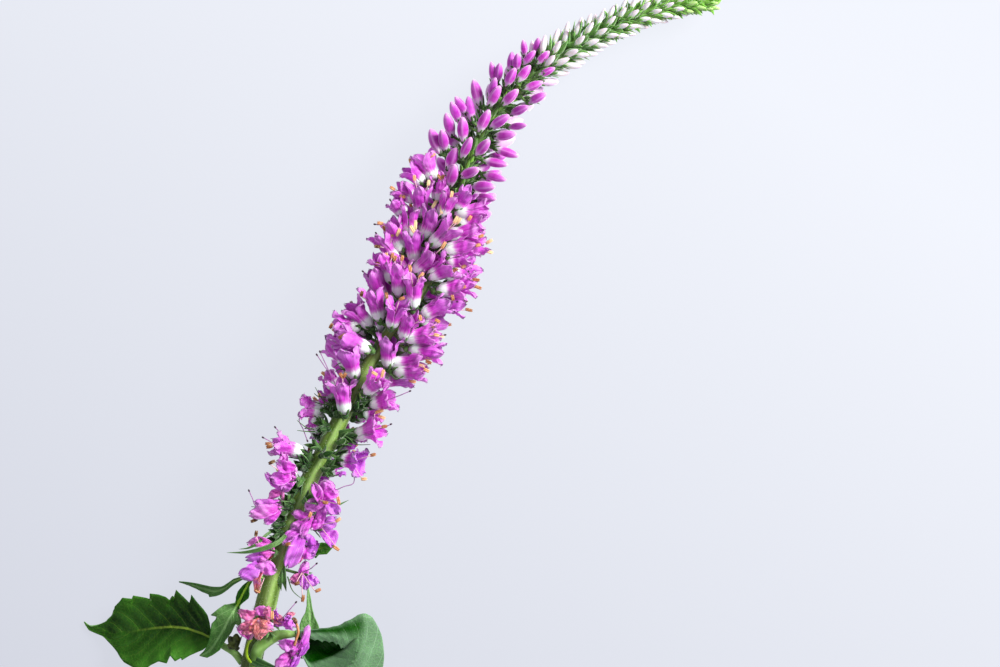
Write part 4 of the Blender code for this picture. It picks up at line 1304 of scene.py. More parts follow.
def add_stamens(skins, flower, draw, age):
    """Two stamens that stand out of a flower's mouth."""
    turned = frame_of(flower.direction, flower.spin)
    ahead = turned[:, 2]
    for sign in (-1, 1):
        outward = turned @ np.array([0.6 * sign, draw.uniform(-0.3, 0.5), 0])
        start = np.array(flower.base) + ahead * flower.length * TUBE_SHARE + outward * 0.6 * MM
        end = np.array(flower.base) + ahead * flower.length * draw.uniform(0.86, 1.1)
        end = end + outward * draw.uniform(0.6, 2.0) * MM
        middle = (start + end) / 2 + outward * 0.5 * MM
        add_pipe(skins["filaments"], curve_points([start, middle, end], 7), 0.09 * MM, 4, age=age)
        heading = unit(ahead + outward * draw.uniform(-0.3, 1.0))
        add_anther(skins["anthers"], end, heading, ANTHER_LENGTH, age)


def nearest_flower(flowers, spot):
    """The flower whose mouth is nearest to spot in plan."""
    def gap(flower):
        mouth = flower.base + flower.direction * flower.length * 0.8
        return (mouth.xy - spot.xy).length
    return min(flowers, key=gap)


def resampled(points, count):
    """Points evenly spaced along a line of straight pieces."""
    points = np.asarray(points, float)
    steps = np.linalg.norm(np.diff(points[:, :2], axis=0), axis=1)
    at = np.concatenate([[0.0], np.cumsum(steps)])
    places = np.linspace(0, at[-1], count)
    return np.stack([np.interp(places, at, column) for column in points.T], -1)


def smoothed(line, reach):
    """The line with its teeth taken off: a moving average, drawn in towards both ends."""
    result = np.empty_like(line)
    for i in range(len(line)):
        here = min(reach, i, len(line) - 1 - i)
        result[i] = line[i - here : i + here + 1].mean(0)
    return result


def surface_normals(grid):
    """The unit normals of a grid of points, from its rows and columns."""
    return unit(np.cross(np.gradient(grid, axis=1), np.gradient(grid, axis=0)))


def upward_normals(grid, row, column):
    """The grid's normals, on the side that faces up at this row and column."""
    normals = surface_normals(grid)
    return -normals if normals[row, column][2] < 0 else normals


def vein_relief(along, across, count, draw):
    """From 0 on the side veins, which run forwards, to 1 between them."""
    shift = draw.uniform(0, 1)
    forwards = np.abs(across) ** VEIN_CURVE * count * VEIN_SLANT
    lines = along * count - forwards + np.where(across > 0, VEIN_OFFSET, 0.0) + shift
    return np.abs(np.sin(lines * math.pi)) ** 0.6


def leaf_half(centre, edge, sign, bend, wave):
    """The columns of one half of a leaf, from its midrib to its edge, as pairs of a place and points."""
    shares = np.linspace(0, 1, LEAF_ROWS)
    line = resampled([picture_point(*row)[:2] for row in edge], LEAF_ROWS)
    soft = smoothed(line, TOOTH_ROWS)
    turn = math.radians(bend)
    columns = []
    for column in range(1, LEAF_HALF_COLUMNS + 1):
        t = column / LEAF_HALF_COLUMNS
        reach = soft - centre[:, :2]
        far = np.linalg.norm(reach, axis=1)
        plan = centre[:, :2] + reach * math.sin(turn * t) / math.sin(turn) + (line - soft) * t**4
        rise = far * (1 - math.cos(turn * t)) / math.sin(turn)
        ripple = np.sin(shares * 21 + sign * 1.3) + 0.6 * np.sin(shares * 47 + sign)
        rise = rise + wave * MM * ripple * t**2 * np.minimum(1, far / (3 * MM))
        columns.append((sign * t, np.concatenate([plan, (centre[:, 2] + rise)[:, None]], 1)))
    return columns


def add_leaf(skin, leaf, draw):
    """A blade between two traced edges. The teeth fade inwards and the skin bulges between the veins."""
    centre = resampled(picture_curve(leaf.midrib, 300), LEAF_ROWS)
    columns = [(0.0, centre)]
    columns += leaf_half(centre, leaf.left, 1, leaf.bend[0], leaf.wave)
    columns += leaf_half(centre, leaf.right, -1, leaf.bend[1], leaf.wave)
    columns.sort(key=lambda pair: -pair[0])
    across = np.array([pair[0] for pair in columns])[None, :]
    grid = np.stack([pair[1] for pair in columns], 1)
    along = np.linspace(0, 1, LEAF_ROWS)[:, None] * np.ones_like(across)
    relief = vein_relief(along, across, leaf.veins, draw)
    widths = np.linalg.norm(grid[:, 0] - grid[:, -1], axis=1)[:, None]
    depth = BULGE * np.minimum(1, widths / FULL_BULGE_WIDTH) * (1 - np.abs(across) ** 3)
    grid[..., 2] += depth * (relief - 0.5) - 0.35 * depth * np.exp(-((across / 0.08) ** 2))
    normals = upward_normals(grid, LEAF_ROWS // 2, LEAF_HALF_COLUMNS)
    width = np.minimum(1, widths / FULL_MIDRIB_WIDTH) * np.ones_like(across)
    shades = {"tone": width, "age": lookup(leaf.pale, along)}
    add_shell(skin, grid, normals, LEAF_THICKNESS, along=along, across=across, **shades)


def add_leaf_stalk(skin, points, radii):
    """A leaf's stalk through rows of right, down and height, with radii in mm."""
    thick = np.interp(np.linspace(0, 1, STALK_POINTS), np.linspace(0, 1, len(radii)), radii) * MM
    add_pipe(skin, picture_curve(points, STALK_POINTS), thick, 12, tone=0.5, across=0.5)


def bicubic(rows, row_count, column_count):
    """A fine grid through a coarse one, smooth both ways."""
    across = [picture_curve(row, column_count) for row in rows]
    columns = [curve_points([row[j] for row in across], row_count) for j in range(column_count)]
    return np.stack(columns, 1)


def ramped(values, start, reach):
    """From 0 at the start to 1 after this reach, or back from it where the reach is negative."""
    return np.clip((values - start) / reach, 0, 1)


def curled_pale(along, across):
    """How much of the underside's colour the curled leaf shows: its rolled edge and tip, not its crest, where
    the dark upper colour is painted shade.
    """
    strip = 0.62 * ramped(across, 0.6, 0.07) * ramped(along, 0.72, -0.06)
    strip = strip + ramped(along, 0.66, 0.06)
    # Painted shade along the crest of the fold: there the dark upper colour takes the underside's place.
    painted_crest_shade = np.exp(-(((across + 0.58) / 0.12) ** 2)) * ramped(along, 0.08, 0.1)
    return strip - painted_crest_shade * ramped(along, 0.66, -0.08)


def add_curled_leaf(skin, draw):
    """A leaf whose far half is rolled back over its middle, with teeth along both edges."""
    rows, columns = CURLED_ROWS, CURLED_COLUMNS
    top_spot = (rows // 3, round(columns * 3 / 7))
    grid = bicubic(CURLED_LEAF, rows, columns)
    along = np.linspace(0, 1, rows)[:, None] * np.ones((1, columns))
    across = np.linspace(1, -1, columns)[None, :] * np.ones((rows, 1))
    relief = vein_relief(along, across, CURLED_VEINS, draw)
    middle = np.sin(np.clip(along, 0.02, 0.98) * math.pi)
    fade = middle**0.5 * (1 - np.abs(across) ** 6)
    grid = grid + upward_normals(grid, *top_spot) * ((relief - 0.6) * CURLED_BULGE * fade)[..., None]
    teeth = np.abs((along * CURLED_TEETH) % 1 - 0.3) * np.clip(np.abs(across) * 6 - 5, 0, 1)
    outward = np.gradient(grid, axis=1) * np.sign(-across)[..., None]
    grid = grid + unit(outward) * (teeth * CURLED_TOOTH * np.sin(along * math.pi) ** 0.5)[..., None]
    shades = {"tone": 0.8 * middle, "age": curled_pale(along, across)}
    normals = upward_normals(grid, *top_spot)
    add_shell(skin, grid, normals, LEAF_THICKNESS, along=along, across=across, **shades)


def make_leaves(paints):
    """The traced leaves with their stalks, then the curled right leaf and what grows in its fork."""
    draw = random.Random(LOOKS_SEED)
    for leaf in LEAVES:
        blade, stalk = Skin(), Skin()
        add_leaf(blade, leaf, draw)
        add_leaf_stalk(stalk, leaf.stalk, leaf.stalk_radius)
        blade.piece(leaf.name, paints[leaf.paint], leaf.slot, leaf.node)
        stalk.piece(leaf.name + "_stalk", paints["green_stalk"], leaf.slot, leaf.node)
    skins = {name: Skin() for name in RIGHT_LEAF_PIECES}
    add_curled_leaf(skins["large_right_leaf"], draw)
    add_leaf_stalk(skins["large_right_leaf_stalk"], CURLED_STALK, CURLED_STALK_RADII)
    add_leaf_stalk(skins["thin_stalk"], THIN_STALK, [THIN_STALK_RADIUS])
    add_blade(skins["fork_leaf"], picture_curve(FORK_LEAF, 20), UP, FORK_LEAF_WIDTH, FORK_BLADE, tone=0.0)
    make_pieces(skins, RIGHT_LEAF_PIECES, paints, "leaf_large_right")


def add_loose_petal(skin, start, end, width, begins, draw, **values):
    """A broad thin petal from start to end, arched, folded lengthwise and crumpled."""
    start, end = np.array(start), np.array(end)
    share = np.linspace(0, 1, LOOSE_PETAL_ROWS)[:, None]
    cross = np.linspace(-1, 1, LOOSE_PETAL_COLUMNS)[None, :]
    ahead = unit(end - start)
    aside = unit(np.cross(UP, ahead))
    up = np.cross(ahead, aside)
    roll = math.radians(draw.uniform(-30, 30))
    side = aside * math.cos(roll) + up * math.sin(roll)
    normal = up * math.cos(roll) - aside * math.sin(roll)
    length = np.linalg.norm(end - start)
    half = width / 2 * LOOSE_WIDENING * lookup(LOOSE_SHAPE, share)
    cup = draw.uniform(0.25, 0.6) * draw.choice((-1, 1))
    lift = half * cup * cross**2 + length * draw.uniform(0.08, 0.2) * np.sin(math.pi * share)
    phase = draw.uniform(0, math.tau)
    lift = lift + 0.1 * MM * np.minimum(1, share * 2) * np.cos(cross * math.pi * 2.6 + phase)
    lift = with_folds(lift, share, cross, LOOSE_FOLDS, draw)
    bent = draw.uniform(-0.12, 0.12) * length * np.sin(math.pi * share) + half * cross
    notch = np.sin(cross * 5.0 + phase) + 0.8 * np.sin(cross * 9.0 - phase)
    reach = length * share + LOOSE_NOTCH * np.clip(share * 3 - 2, 0, 1) * notch
    grid = start + ahead * reach[..., None] + side * bent[..., None] + normal * lift[..., None]
    along = begins + (1 - begins) * share
    add_shell(skin, grid, surface_normals(grid), PETAL_THICKNESS, along=along, across=cross, **values)


def add_loose_flower(skin, green, petals, foot, root, draw):
    """A flower whose petals hang apart, each by its claw from the foot, with its sepals and stalk."""
    middle = sum((picture_point(*petal[:2]) for petal in petals), Vector()) / len(petals)
    heading = Vector((middle.x - foot.x, middle.y - foot.y, 0.8 * MM))
    direction = (heading + (foot - root) * 0.5).normalized()
    flower = Flower("loose", 0, root, foot, direction, draw.uniform(0, 6), 3 * MM, 2 * MM)
    shade = draw.uniform(0.0, 0.3)
    add_calyx(green, flower, draw, *LOOSE_CALYX, tone=shade)
    add_stalk(green, flower, *LOOSE_STALK, tone=shade)
    for number, petal in enumerate(petals):
        right, down, end_right, end_down, width, violet, wilt, begins = petal
        height = foot.z + 0.3 * MM + number * LOOSE_STEP
        start = picture_point(right, down, height / MM)
        end = picture_point(end_right, end_down, (height + draw.uniform(-0.5, 0.5) * MM) / MM)
        looks = {"tone": violet, "age": wilt}
        add_loose_petal(skin, start, end, width * PICTURE_STEP, begins, draw, **looks)
        claw = curve_points([foot, (foot + start) / 2 + Vector((0, 0, -0.2 * MM)), start], 5)
        add_pipe(skin, claw, CLAW_RADIUS, 6, along=0.4, **looks)


def axil_bud(base, row, spin):
    """A bud of the dark shoot: where it ends, how steeply it rises and how wide it is."""
    end = picture_point(*row[:2])
    length = (end - base).xy.length / math.cos(math.radians(row[2]))
    direction = rising(end - base, row[2])
    root = base - direction * 0.3 * MM
    return Flower("axil", 0, root, base, direction, spin, length, row[3] * MM)


def make_sprays(paints):
    """The small flowering shoot on the right and the dark shoot in the left leaf's fork."""
    draw = random.Random(LOOKS_SEED)
    petals, green, dark = Skin(), Skin(), Skin()
    foot, root = picture_point(*SPRAY_STALK[-1]), picture_point(*SPRAY_STALK[-2])
    add_loose_flower(petals, green, SPRAY_PETALS, foot, root, draw)
    add_pipe(green, picture_curve(SPRAY_STALK, 10), SPRAY_RADIUS, 8, tone=0.4)
    stalk = [picture_point(*row) for row in AXIL_STALK]
    for number, row in enumerate(AXIL_BUDS):
        flower = axil_bud(stalk[-1], row, number * 1.3)
        radius = flower.width / 2
        shape = (WHITE_BUD, flower.length, radius, 14, 0.1)
        add_spindle(dark, flower.base, flower.direction, 0.3, *shape, tone=0.0)
        add_calyx(dark, flower, draw, flower.length * 0.9, 1.2 * MM, radius * 0.8, 0.15, tone=0.0)
    add_pipe(dark, curve_points(stalk + [stalk[-1] + Vector((0, 0, 0.2 * MM))], 8), SPRAY_RADIUS, 8, tone=0.1)
    petals.piece("spray_petals", paints["loose_petal"], "floret_pink", "side_spray")
    green.piece("spray_sepals", paints["small_green"], "leaf_light", "side_spray")
    dark.piece("dark_shoot", paints["dark_green"], "leaf_light", "axil_buds")


def make_empty_calyces(paints):
    """The sepals that fallen flowers leave on the stem."""
    draw = random.Random(LOOKS_SEED)
    skin = Skin()
    for row in EMPTY_CALYCES:
        start, end = ends_in_picture(row)
        foot, root, _ = off_axis(start, CALYX_STANDS_OFF)
        direction = rising(end - start, draw.uniform(8, 40))
        flower = Flower("empty", 0, root, foot, direction, draw.uniform(0, 6), 3 * MM, 2 * MM)
        shade = max(0.0, draw.uniform(-0.5, 0.45))
        add_calyx(skin, flower, draw, draw.uniform(2.1, 3.0) * MM, *EMPTY_SEPALS, tone=shade)
        add_stalk(skin, flower, *EMPTY_STALK, tone=shade)
    skin.piece("empty_calyces", paints["small_green"], "leaf_light", "flower_spike")


class Paint:
    """Builds the nodes of one material, from helpers that each return a socket."""

    def __init__(self, name, roughness, specular):
        self.material = bpy.data.materials.new(name)
        self.material.use_nodes = True
        self.tree = self.material.node_tree
        self.shader = self.tree.nodes["Principled BSDF"].inputs
        self.shader["Roughness"].default_value = roughness
        self.shader["Specular IOR Level"].default_value = specular

    def node(self, kind, **settings):
        node = self.tree.nodes.new(kind)
        for key, value in settings.items():
            setattr(node, key, value)
        return node

    def put(self, socket, value):
        if isinstance(value, bpy.types.NodeSocket):
            self.tree.links.new(value, socket)
        else:
            socket.default_value = value

    def value(self, name):
        return self.node("ShaderNodeAttribute", attribute_name=name).outputs["Fac"]

    def math(self, operation, a, b=0.0, clamp=False):
        node = self.node("ShaderNodeMath", operation=operation, use_clamp=clamp)
        self.put(node.inputs[0], a)
        self.put(node.inputs[1], b)
        return node.outputs[0]

    def times(self, product, *factors):
        for factor in factors:
            product = self.math("MULTIPLY", product, factor)
        return product

    def plus(self, total, *parts):
        for part in parts:
            total = self.math("ADD", total, part)
        return total

    def less(self, value, part):
        return self.math("SUBTRACT", value, part)

    def size(self, value):
        return self.math("ABSOLUTE", value)

    def power(self, value, exponent):
        return self.math("POWER", value, exponent)

    def scaled(self, value, low, high):
        """0 where the value is low and 1 where it is high, smooth between them."""
        node = self.node("ShaderNodeMapRange", interpolation_type="SMOOTHSTEP")
        for i, part in enumerate((value, low, high)):
            self.put(node.inputs[i], part)
        return node.outputs[0]

    def mix(self, share, a, b):
        node = self.node("ShaderNodeMix", data_type="RGBA")
        self.put(node.inputs["Factor"], share)
        self.put(node.inputs[6], a)
        self.put(node.inputs[7], b)
        return node.outputs[2]

    def over(self, base, colour, *shares):
        """The colour laid over the base, as strong as the product of the shares."""
        return self.mix(self.times(*shares), base, colour)

    def ramp(self, share, stops):
        """Colours by share, from rows of a place and a colour as on a screen."""
        node = self.node("ShaderNodeValToRGB")
        parts = node.color_ramp.elements
        while len(parts) < len(stops):
            parts.new(0.5)
        for part, (place, *colour) in zip(parts, stops):
            part.position = place
            part.color = rgb(*colour)
        self.put(node.inputs[0], share)
        return node.outputs[0]

    def vector(self, x, y, z):
        node = self.node("ShaderNodeCombineXYZ")
        for socket, part in zip(node.inputs, (x, y, z)):
            self.put(socket, part)
        return node.outputs[0]

    def place(self):
        return self.node("ShaderNodeTexCoord").outputs["Object"]

    def noise(self, vector, scale, detail):
        node = self.node("ShaderNodeTexNoise")
        self.put(node.inputs["Vector"], vector)
        node.inputs["Scale"].default_value = scale
        node.inputs["Detail"].default_value = detail
        return node.outputs[0]

    def grain(self, scale, detail=2.0):
        """Noise that is even in all directions."""
        return self.noise(self.place(), scale, detail)

    def bump(self, height, distance, strength):
        node = self.node("ShaderNodeBump")
        self.put(node.inputs["Height"], height)
        node.inputs["Distance"].default_value = distance
        node.inputs["Strength"].default_value = strength
        self.tree.links.new(node.outputs[0], self.shader["Normal"])

    def colour(self, value):
        self.put(self.shader["Base Color"], value)

    def sheen(self, weight, roughness, tint):
        """The soft light edge of a velvety skin."""
        self.shader["Sheen Weight"].default_value = weight
        self.shader["Sheen Roughness"].default_value = roughness
        self.shader["Sheen Tint"].default_value = (*tint, 1.0)

    def soft(self, weight, scale, radius=(1.0, 0.5, 0.4)):
        """Light that enters and leaves beside where it went in."""
        self.shader["Subsurface Weight"].default_value = weight
        self.shader["Subsurface Scale"].default_value = scale
        self.shader["Subsurface Radius"].default_value = radius


def rgb(red, green, blue):
    """A colour given as it looks on a screen, 0 to 255, turned into the light that it stands for."""
    def light(part):
        part /= 255
        return part / 12.92 if part <= 0.04045 else ((part + 0.055) / 1.055) ** 2.4
    return (light(red), light(green), light(blue), 1.0)


def darker(colour, share):
    """This share of the colour's light."""
    return tuple(part * share for part in colour[:3]) + (1.0,)


def petal_paint(name, streaked, lilac, mottled):
    """White at the foot, then deep magenta that pales to the rim, streaked along the petal.

    The three shares are how strong the dark streaks are, how lilac the petals of a high tone are, and how
    strong the pale patches are.
    """
    paint = Paint(name, 0.4, 0.22)
    along, across, tone = (paint.value(part) for part in ("along", "across", "tone"))
    petals_apart = paint.times(tone, 31.0)
    streak_place = paint.vector(paint.times(across, 6.0), paint.times(along, 1.5), petals_apart)
    vein_place = paint.vector(paint.times(across, 19.0), paint.times(along, 2.0), petals_apart)
    streaks = paint.noise(streak_place, 1.0, 2.0)
    pushed = paint.plus(along, paint.times(paint.less(streaks, 0.5), 0.2), paint.times(tone, 0.11))
    petal_part = paint.scaled(along, 0.34, 0.5)
    base = paint.ramp(pushed, PETAL_COLOURS)
    base = paint.over(base, rgb(232, 140, 232), paint.power(paint.size(across), 2.5), petal_part, 0.45)
    base = paint.over(base, rgb(158, 18, 146), paint.scaled(streaks, 0.52, 0.75), petal_part, streaked)
    base = paint.over(base, rgb(236, 162, 236), paint.scaled(streaks, 0.46, 0.25), petal_part, 0.55)
    veins = paint.scaled(paint.noise(vein_place, 1.0, 1.0), 0.5, 0.68)
    base = paint.over(base, rgb(150, 24, 146), veins, 0.3, petal_part)
    patches = paint.scaled(paint.grain(300.0), 0.47, 0.66)
    base = paint.over(base, rgb(232, 176, 232), patches, mottled, petal_part)
    base = paint.over(base, rgb(164, 84, 206), paint.scaled(tone, 0.35, 1.0), lilac, petal_part)
    faded = paint.mix(paint.scaled(streaks, 0.35, 0.6), rgb(200, 92, 84), rgb(242, 148, 146))
    base = paint.over(base, faded, paint.value("age"), paint.scaled(paint.grain(420.0, 3.0), 0.22, 0.46))
    paint.colour(base)
    paint.bump(paint.noise(streak_place, 2.4, 2.0), 0.12 * MM, 0.6)
    paint.soft(0.4, 0.8 * MM, PINK_GLOW)
    paint.sheen(0.28, 0.35, (1.0, 0.8, 1.0))
    return paint.material


def pink_bud_paint():
    """Pale at the foot, magenta above it and lighter towards the tip and along four lines round it."""
    paint = Paint("pink_bud", 0.42, 0.25)
    pushed = paint.plus(paint.value("along"), paint.times(paint.less(paint.grain(900.0), 0.5), 0.16))
    seam = paint.size(paint.math("SINE", paint.times(paint.value("across"), math.tau * 2)))
    base = paint.ramp(pushed, PINK_BUD_COLOURS)
    base = paint.over(base, rgb(238, 178, 240), paint.scaled(seam, 0.75, 0.0), 0.5)
    base = paint.over(base, rgb(170, 60, 190), paint.value("tone"), 0.3)
    base = paint.over(base, rgb(240, 212, 240), paint.value("age"))
    paint.colour(base)
    paint.bump(paint.grain(2200.0), 0.06 * MM, 0.5)
    paint.soft(0.4, 0.7 * MM, PINK_GLOW)
    paint.sheen(1.0, 0.35, (1.0, 0.86, 1.0))
    return paint.material


def white_bud_paint():
    """White with a flush of pink at the tip, and green where it is youngest."""
    paint = Paint("white_bud", 0.5, 0.3)
    base = paint.ramp(paint.value("along"), WHITE_BUD_COLOURS)
    paint.colour(paint.over(base, rgb(164, 206, 112), paint.value("age")))
    paint.soft(0.5, 0.8 * MM, (1.0, 0.8, 0.7))
    return paint.material


def green_paint():
    """The small green parts, darker where tone is low and yellow-green where age is high."""
    paint = Paint("small_green", 0.5, 0.22)
    far, tone = paint.size(paint.value("across")), paint.value("tone")
    grain = paint.grain(700.0, 3.0)
    lit = paint.plus(paint.times(tone, 0.5), 0.15)
    base = paint.mix(tone, rgb(16, 52, 12), rgb(110, 158, 84))
    base = paint.over(base, rgb(104, 154, 66), paint.scaled(grain, 0.35, 0.7), lit)
    base = paint.over(base, rgb(158, 198, 140), paint.power(far, 3.0), lit)
    base = paint.over(base, rgb(140, 184, 96), paint.scaled(far, 0.16, 0.0), lit)
    base = paint.over(base, rgb(136, 196, 66), paint.value("age"))
    paint.colour(base)
    paint.bump(grain, 0.08 * MM, 0.6)
    paint.soft(0.3, 0.6 * MM, (0.5, 1.0, 0.3))
    paint.sheen(0.35, 0.4, (0.92, 1.0, 0.9))
    return paint.material


def stem_paint():
    """Ribbed fresh green, pale on the ribs and olive between them, with painted shade along one side. The cut
    shows pale pith.
    """
    paint = Paint("stem", 0.45, 0.28)
    around, along = paint.value("across"), paint.value("along")
    streaks = paint.noise(paint.vector(paint.times(around, 9.0), paint.times(along, 26.0), 0.0), 1.0, 3.0)
    grain = paint.grain(1500.0)
    base = paint.mix(paint.scaled(streaks, 0.32, 0.68), rgb(88, 120, 34), rgb(142, 176, 82))
    base = paint.over(base, rgb(176, 208, 132), paint.value("tone"), 0.45)
    base = paint.over(base, rgb(192, 216, 158), paint.scaled(grain, 0.55, 0.75), 0.3)
    # Painted shade: dark olive along the side of the stem where across is low.
    base = paint.over(base, rgb(62, 84, 18), paint.scaled(around, 0.62, 0.2), 0.6)
    base = paint.over(base, rgb(48, 92, 24), paint.scaled(along, 0.138, 0.152), 0.75)
    base = paint.over(base, rgb(58, 70, 16), paint.scaled(along, 0.0590, 0.0545), 0.7)
    base = paint.over(base, rgb(214, 222, 176), paint.value("age"))
    paint.colour(base)
    paint.bump(paint.plus(streaks, grain), 0.1 * MM, 0.5)
    paint.soft(0.35, 0.9 * MM, STEM_GLOW)
    return paint.material


def leaf_lines(paint, along, across, far, veins):
    """How far a place is from the nearest side vein. The veins run forwards and waver a little."""
    wobble = paint.times(paint.less(paint.grain(260.0), 0.5), 0.35)
    reach = paint.times(paint.power(far, VEIN_CURVE), veins * VEIN_SLANT)
    offset = paint.times(paint.scaled(across, -0.001, 0.001), VEIN_OFFSET)
    lines = paint.plus(paint.less(paint.times(along, veins), reach), wobble, offset)
    return paint.size(paint.less(paint.math("FRACT", lines), 0.5))


def leaf_light(paint, along, across, far, near, patches, painted_highlight):
    """How light the upper side is: in patches, towards the edge, and in painted highlights on one half and at
    the tip.
    """
    patched = paint.times(paint.scaled(patches, 0.43, 0.62), 1 - 0.65 * painted_highlight)
    edge = paint.times(paint.scaled(far, 0.45, 1.1), 0.5 - 0.2 * painted_highlight)
    # Painted highlights: the half where across is high, near the foot, and the tip, as strong as the last
    # argument.
    lower = paint.times(paint.scaled(across, -0.15, 0.7), paint.scaled(along, 0.78, 0.3))
    lower = paint.times(lower, 0.62 * painted_highlight)
    tip = paint.times(paint.scaled(along, 0.72, 0.9), 0.34 * painted_highlight)
    lit = paint.plus(patched, edge, lower, tip, paint.times(paint.scaled(near, 0.5, 0.1), 0.08))
    return paint.math("MULTIPLY", lit, 0.7, clamp=True)


def leaf_paint(name, dark, mid, vein, under, under_vein, veins, painted_highlight):
    """A leaf: its upper side with pale veins, patches and painted highlights, its underside paler, with
    raised veins.
    """
    paint = Paint(name, 0.38, 0.1)
    along, across, width, age, side = (paint.value(part) for part in VALUES)
    far = paint.size(across)
    near = leaf_lines(paint, along, across, far, veins)
    side_vein = paint.times(paint.scaled(near, 0.06, 0.0), paint.scaled(far, 1.0, 0.5))
    midrib = paint.scaled(paint.times(far, width), 0.034, 0.012)
    cells = paint.node("ShaderNodeTexVoronoi", feature="DISTANCE_TO_EDGE")
    paint.put(cells.inputs["Vector"], paint.place())
    cells.inputs["Scale"].default_value = LEAF_CELLS
    net = paint.scaled(cells.outputs[0], 0.12, 0.0)
    patches = paint.grain(75.0, 4.0)
    top = paint.mix(leaf_light(paint, along, across, far, near, patches, painted_highlight), rgb(*dark), rgb(*mid))
    top = paint.over(top, rgb(*vein), net, 0.05)
    top = paint.over(top, rgb(*vein), side_vein, 0.11)
    top = paint.over(top, rgb(*vein), midrib, paint.scaled(along, 0.72, 0.1), 0.75)
    below = paint.mix(paint.scaled(patches, 0.32, 0.62), rgb(*under), darker(rgb(*under), 0.5))
    below = paint.over(below, rgb(*under_vein), net, 0.16)
    raised = paint.math("MAXIMUM", paint.times(side_vein, 0.6), midrib)
    below = paint.over(below, rgb(*under_vein), raised)
    shown = paint.math("MAXIMUM", paint.less(1.0, side), age)
    shown = paint.math("ADD", shown, paint.math("MINIMUM", age, 0.0), clamp=True)
    paint.colour(paint.mix(shown, top, below))
    ridges = paint.less(paint.times(net, 0.5), side_vein)
    paint.bump(paint.plus(ridges, paint.grain(1800.0)), 0.12 * MM, 0.5)
    paint.soft(0.25, 0.7 * MM, (0.4, 1.0, 0.25))
    return paint.material


def stalk_paint(name, dark, light):
    """Leaf stalks, bright green with paler lengthwise lines."""
    paint = Paint(name, 0.4, 0.25)
    lines = paint.noise(paint.vector(paint.times(paint.value("along"), 3.0), 0.0, 0.0), 1.0, 2.0)
    grain = paint.grain(900.0, 3.0)
    patches = paint.scaled(paint.grain(240.0), 0.38, 0.62)
    share = paint.math("ADD", patches, paint.times(grain, 0.2), clamp=True)
    base = paint.mix(share, rgb(*dark), rgb(*light))
    paint.colour(paint.over(base, rgb(*light), lines, 0.25))
    paint.bump(grain, 0.1 * MM, 0.5)
    paint.soft(0.3, 0.8 * MM, STEM_GLOW)
    return paint.material


def anther_paint():
    """Pale fresh pollen sacs that turn brown with age, with light grains of pollen."""
    paint = Paint("anther", 0.6, 0.2)
    grain = paint.grain(2600.0)
    base = paint.ramp(paint.value("age"), ANTHER_COLOURS)
    paint.colour(paint.over(base, rgb(255, 224, 164), paint.scaled(grain, 0.4, 0.75), 0.35))
    paint.bump(grain, 0.06 * MM, 0.7)
    paint.soft(0.3, 0.4 * MM)
    return paint.material


def plain_paint(name, colour, roughness, grain_scale=1500.0, variation=0.25):
    """One colour with a little grain, for hairs, threads and styles."""
    paint = Paint(name, roughness, 0.3)
    grain = paint.scaled(paint.grain(grain_scale), 0.35, 0.65)
    paint.colour(paint.mix(grain, darker(rgb(*colour), 1 - variation), rgb(*colour)))
    return paint.material


def make_paints():
    """Every material by its name."""
    paints = [petal_paint(*row) for row in PETAL_PAINTS]
    paints += [pink_bud_paint(), white_bud_paint(), green_paint(), stem_paint(), anther_paint()]
    paints += [stalk_paint(*row) for row in STALK_PAINTS]
    paints += [leaf_paint(*row) for row in LEAF_PAINTS]
    paints += [plain_paint(*row) for row in PLAIN_PAINTS]
    return {paint.name: paint for paint in paints}


def axis_skin(start, end):
    """The ribbed skin of the stem or of the stalk of the spike. The stem's begins with its cut."""
    skin = Skin()
    count = max(4, round((end - start) / STEM_STEP))
    places = np.linspace(start, end, count + 1)
    frames = [AXIS.frame(place) for place in places]
    centre, right, up = (np.array([frame[i] for frame in frames]) for i in (0, 2, 3))
    turns = turns_of(STEM_SIDES)
    ribs = 0.5 + 0.5 * np.cos(turns[None] * STEM_RIBS + np.sin(places / MM / 17)[:, None] * 0.8)
    radius = np.array([AXIS.radius(place) for place in places])[:, None] * (0.94 + 0.09 * ribs)
    radius = radius * (1 + 0.03 * np.sin(places / MM / 3.1)[:, None])
    ring = ring_directions(turns, right, up)
    rings = centre[:, None] + ring * radius[..., None]
    around = np.broadcast_to(np.abs(turns / math.pi - 1), ribs.shape)
    cut = np.zeros(len(places))
    if start == 0.0:
        inner = centre[:1, None] + ring[:1] * radius[:1, :, None] * 0.97
        rings = np.concatenate([inner, rings])
        ribs = np.concatenate([ribs[:1], ribs])
        around = np.concatenate([around[:1], around])
        places = np.concatenate([places[:1], places])
        cut = np.concatenate([[1.0], cut])
    add_rings(skin, rings, centre[0], centre[-1], along=places, across=around, tone=ribs, age=cut)
    return skin


def add_hair(skin, root, direction, length):
    """A hair with three sides that ends in a point."""
    turned = frame_of(direction)
    turns = [k * HAIR_CORNER for k in range(3)]
    corners = [turned @ np.array([math.cos(turn), math.sin(turn), 0]) * HAIR_RADIUS for turn in turns]
    points = [np.array(root) + corner for corner in corners]
    points.append(np.array(root) + turned[:, 2] * length)
    skin.add(points, [np.array([[0, 1, 3], [1, 2, 3], [2, 0, 3], [2, 1, 0]])])


def stem_hairs():
    """Fine pale hairs that stand off the stem."""
    draw = random.Random(LOOKS_SEED)
    skin = Skin()
    for _ in range(HAIRS):
        place = draw.uniform(HAIRS_FROM, HAIRS_TO)
        point, tangent, outward, up = AXIS.outward(place, draw.uniform(0, math.tau))
        root = point + outward * AXIS.radius(place) * 0.97
        lean = (outward + tangent * draw.uniform(-0.5, 0.7) + up * draw.uniform(-0.3, 0.3)).normalized()
        add_hair(skin, root, lean, HAIR_LENGTH * draw.uniform(0.5, 1.2))
    return skin


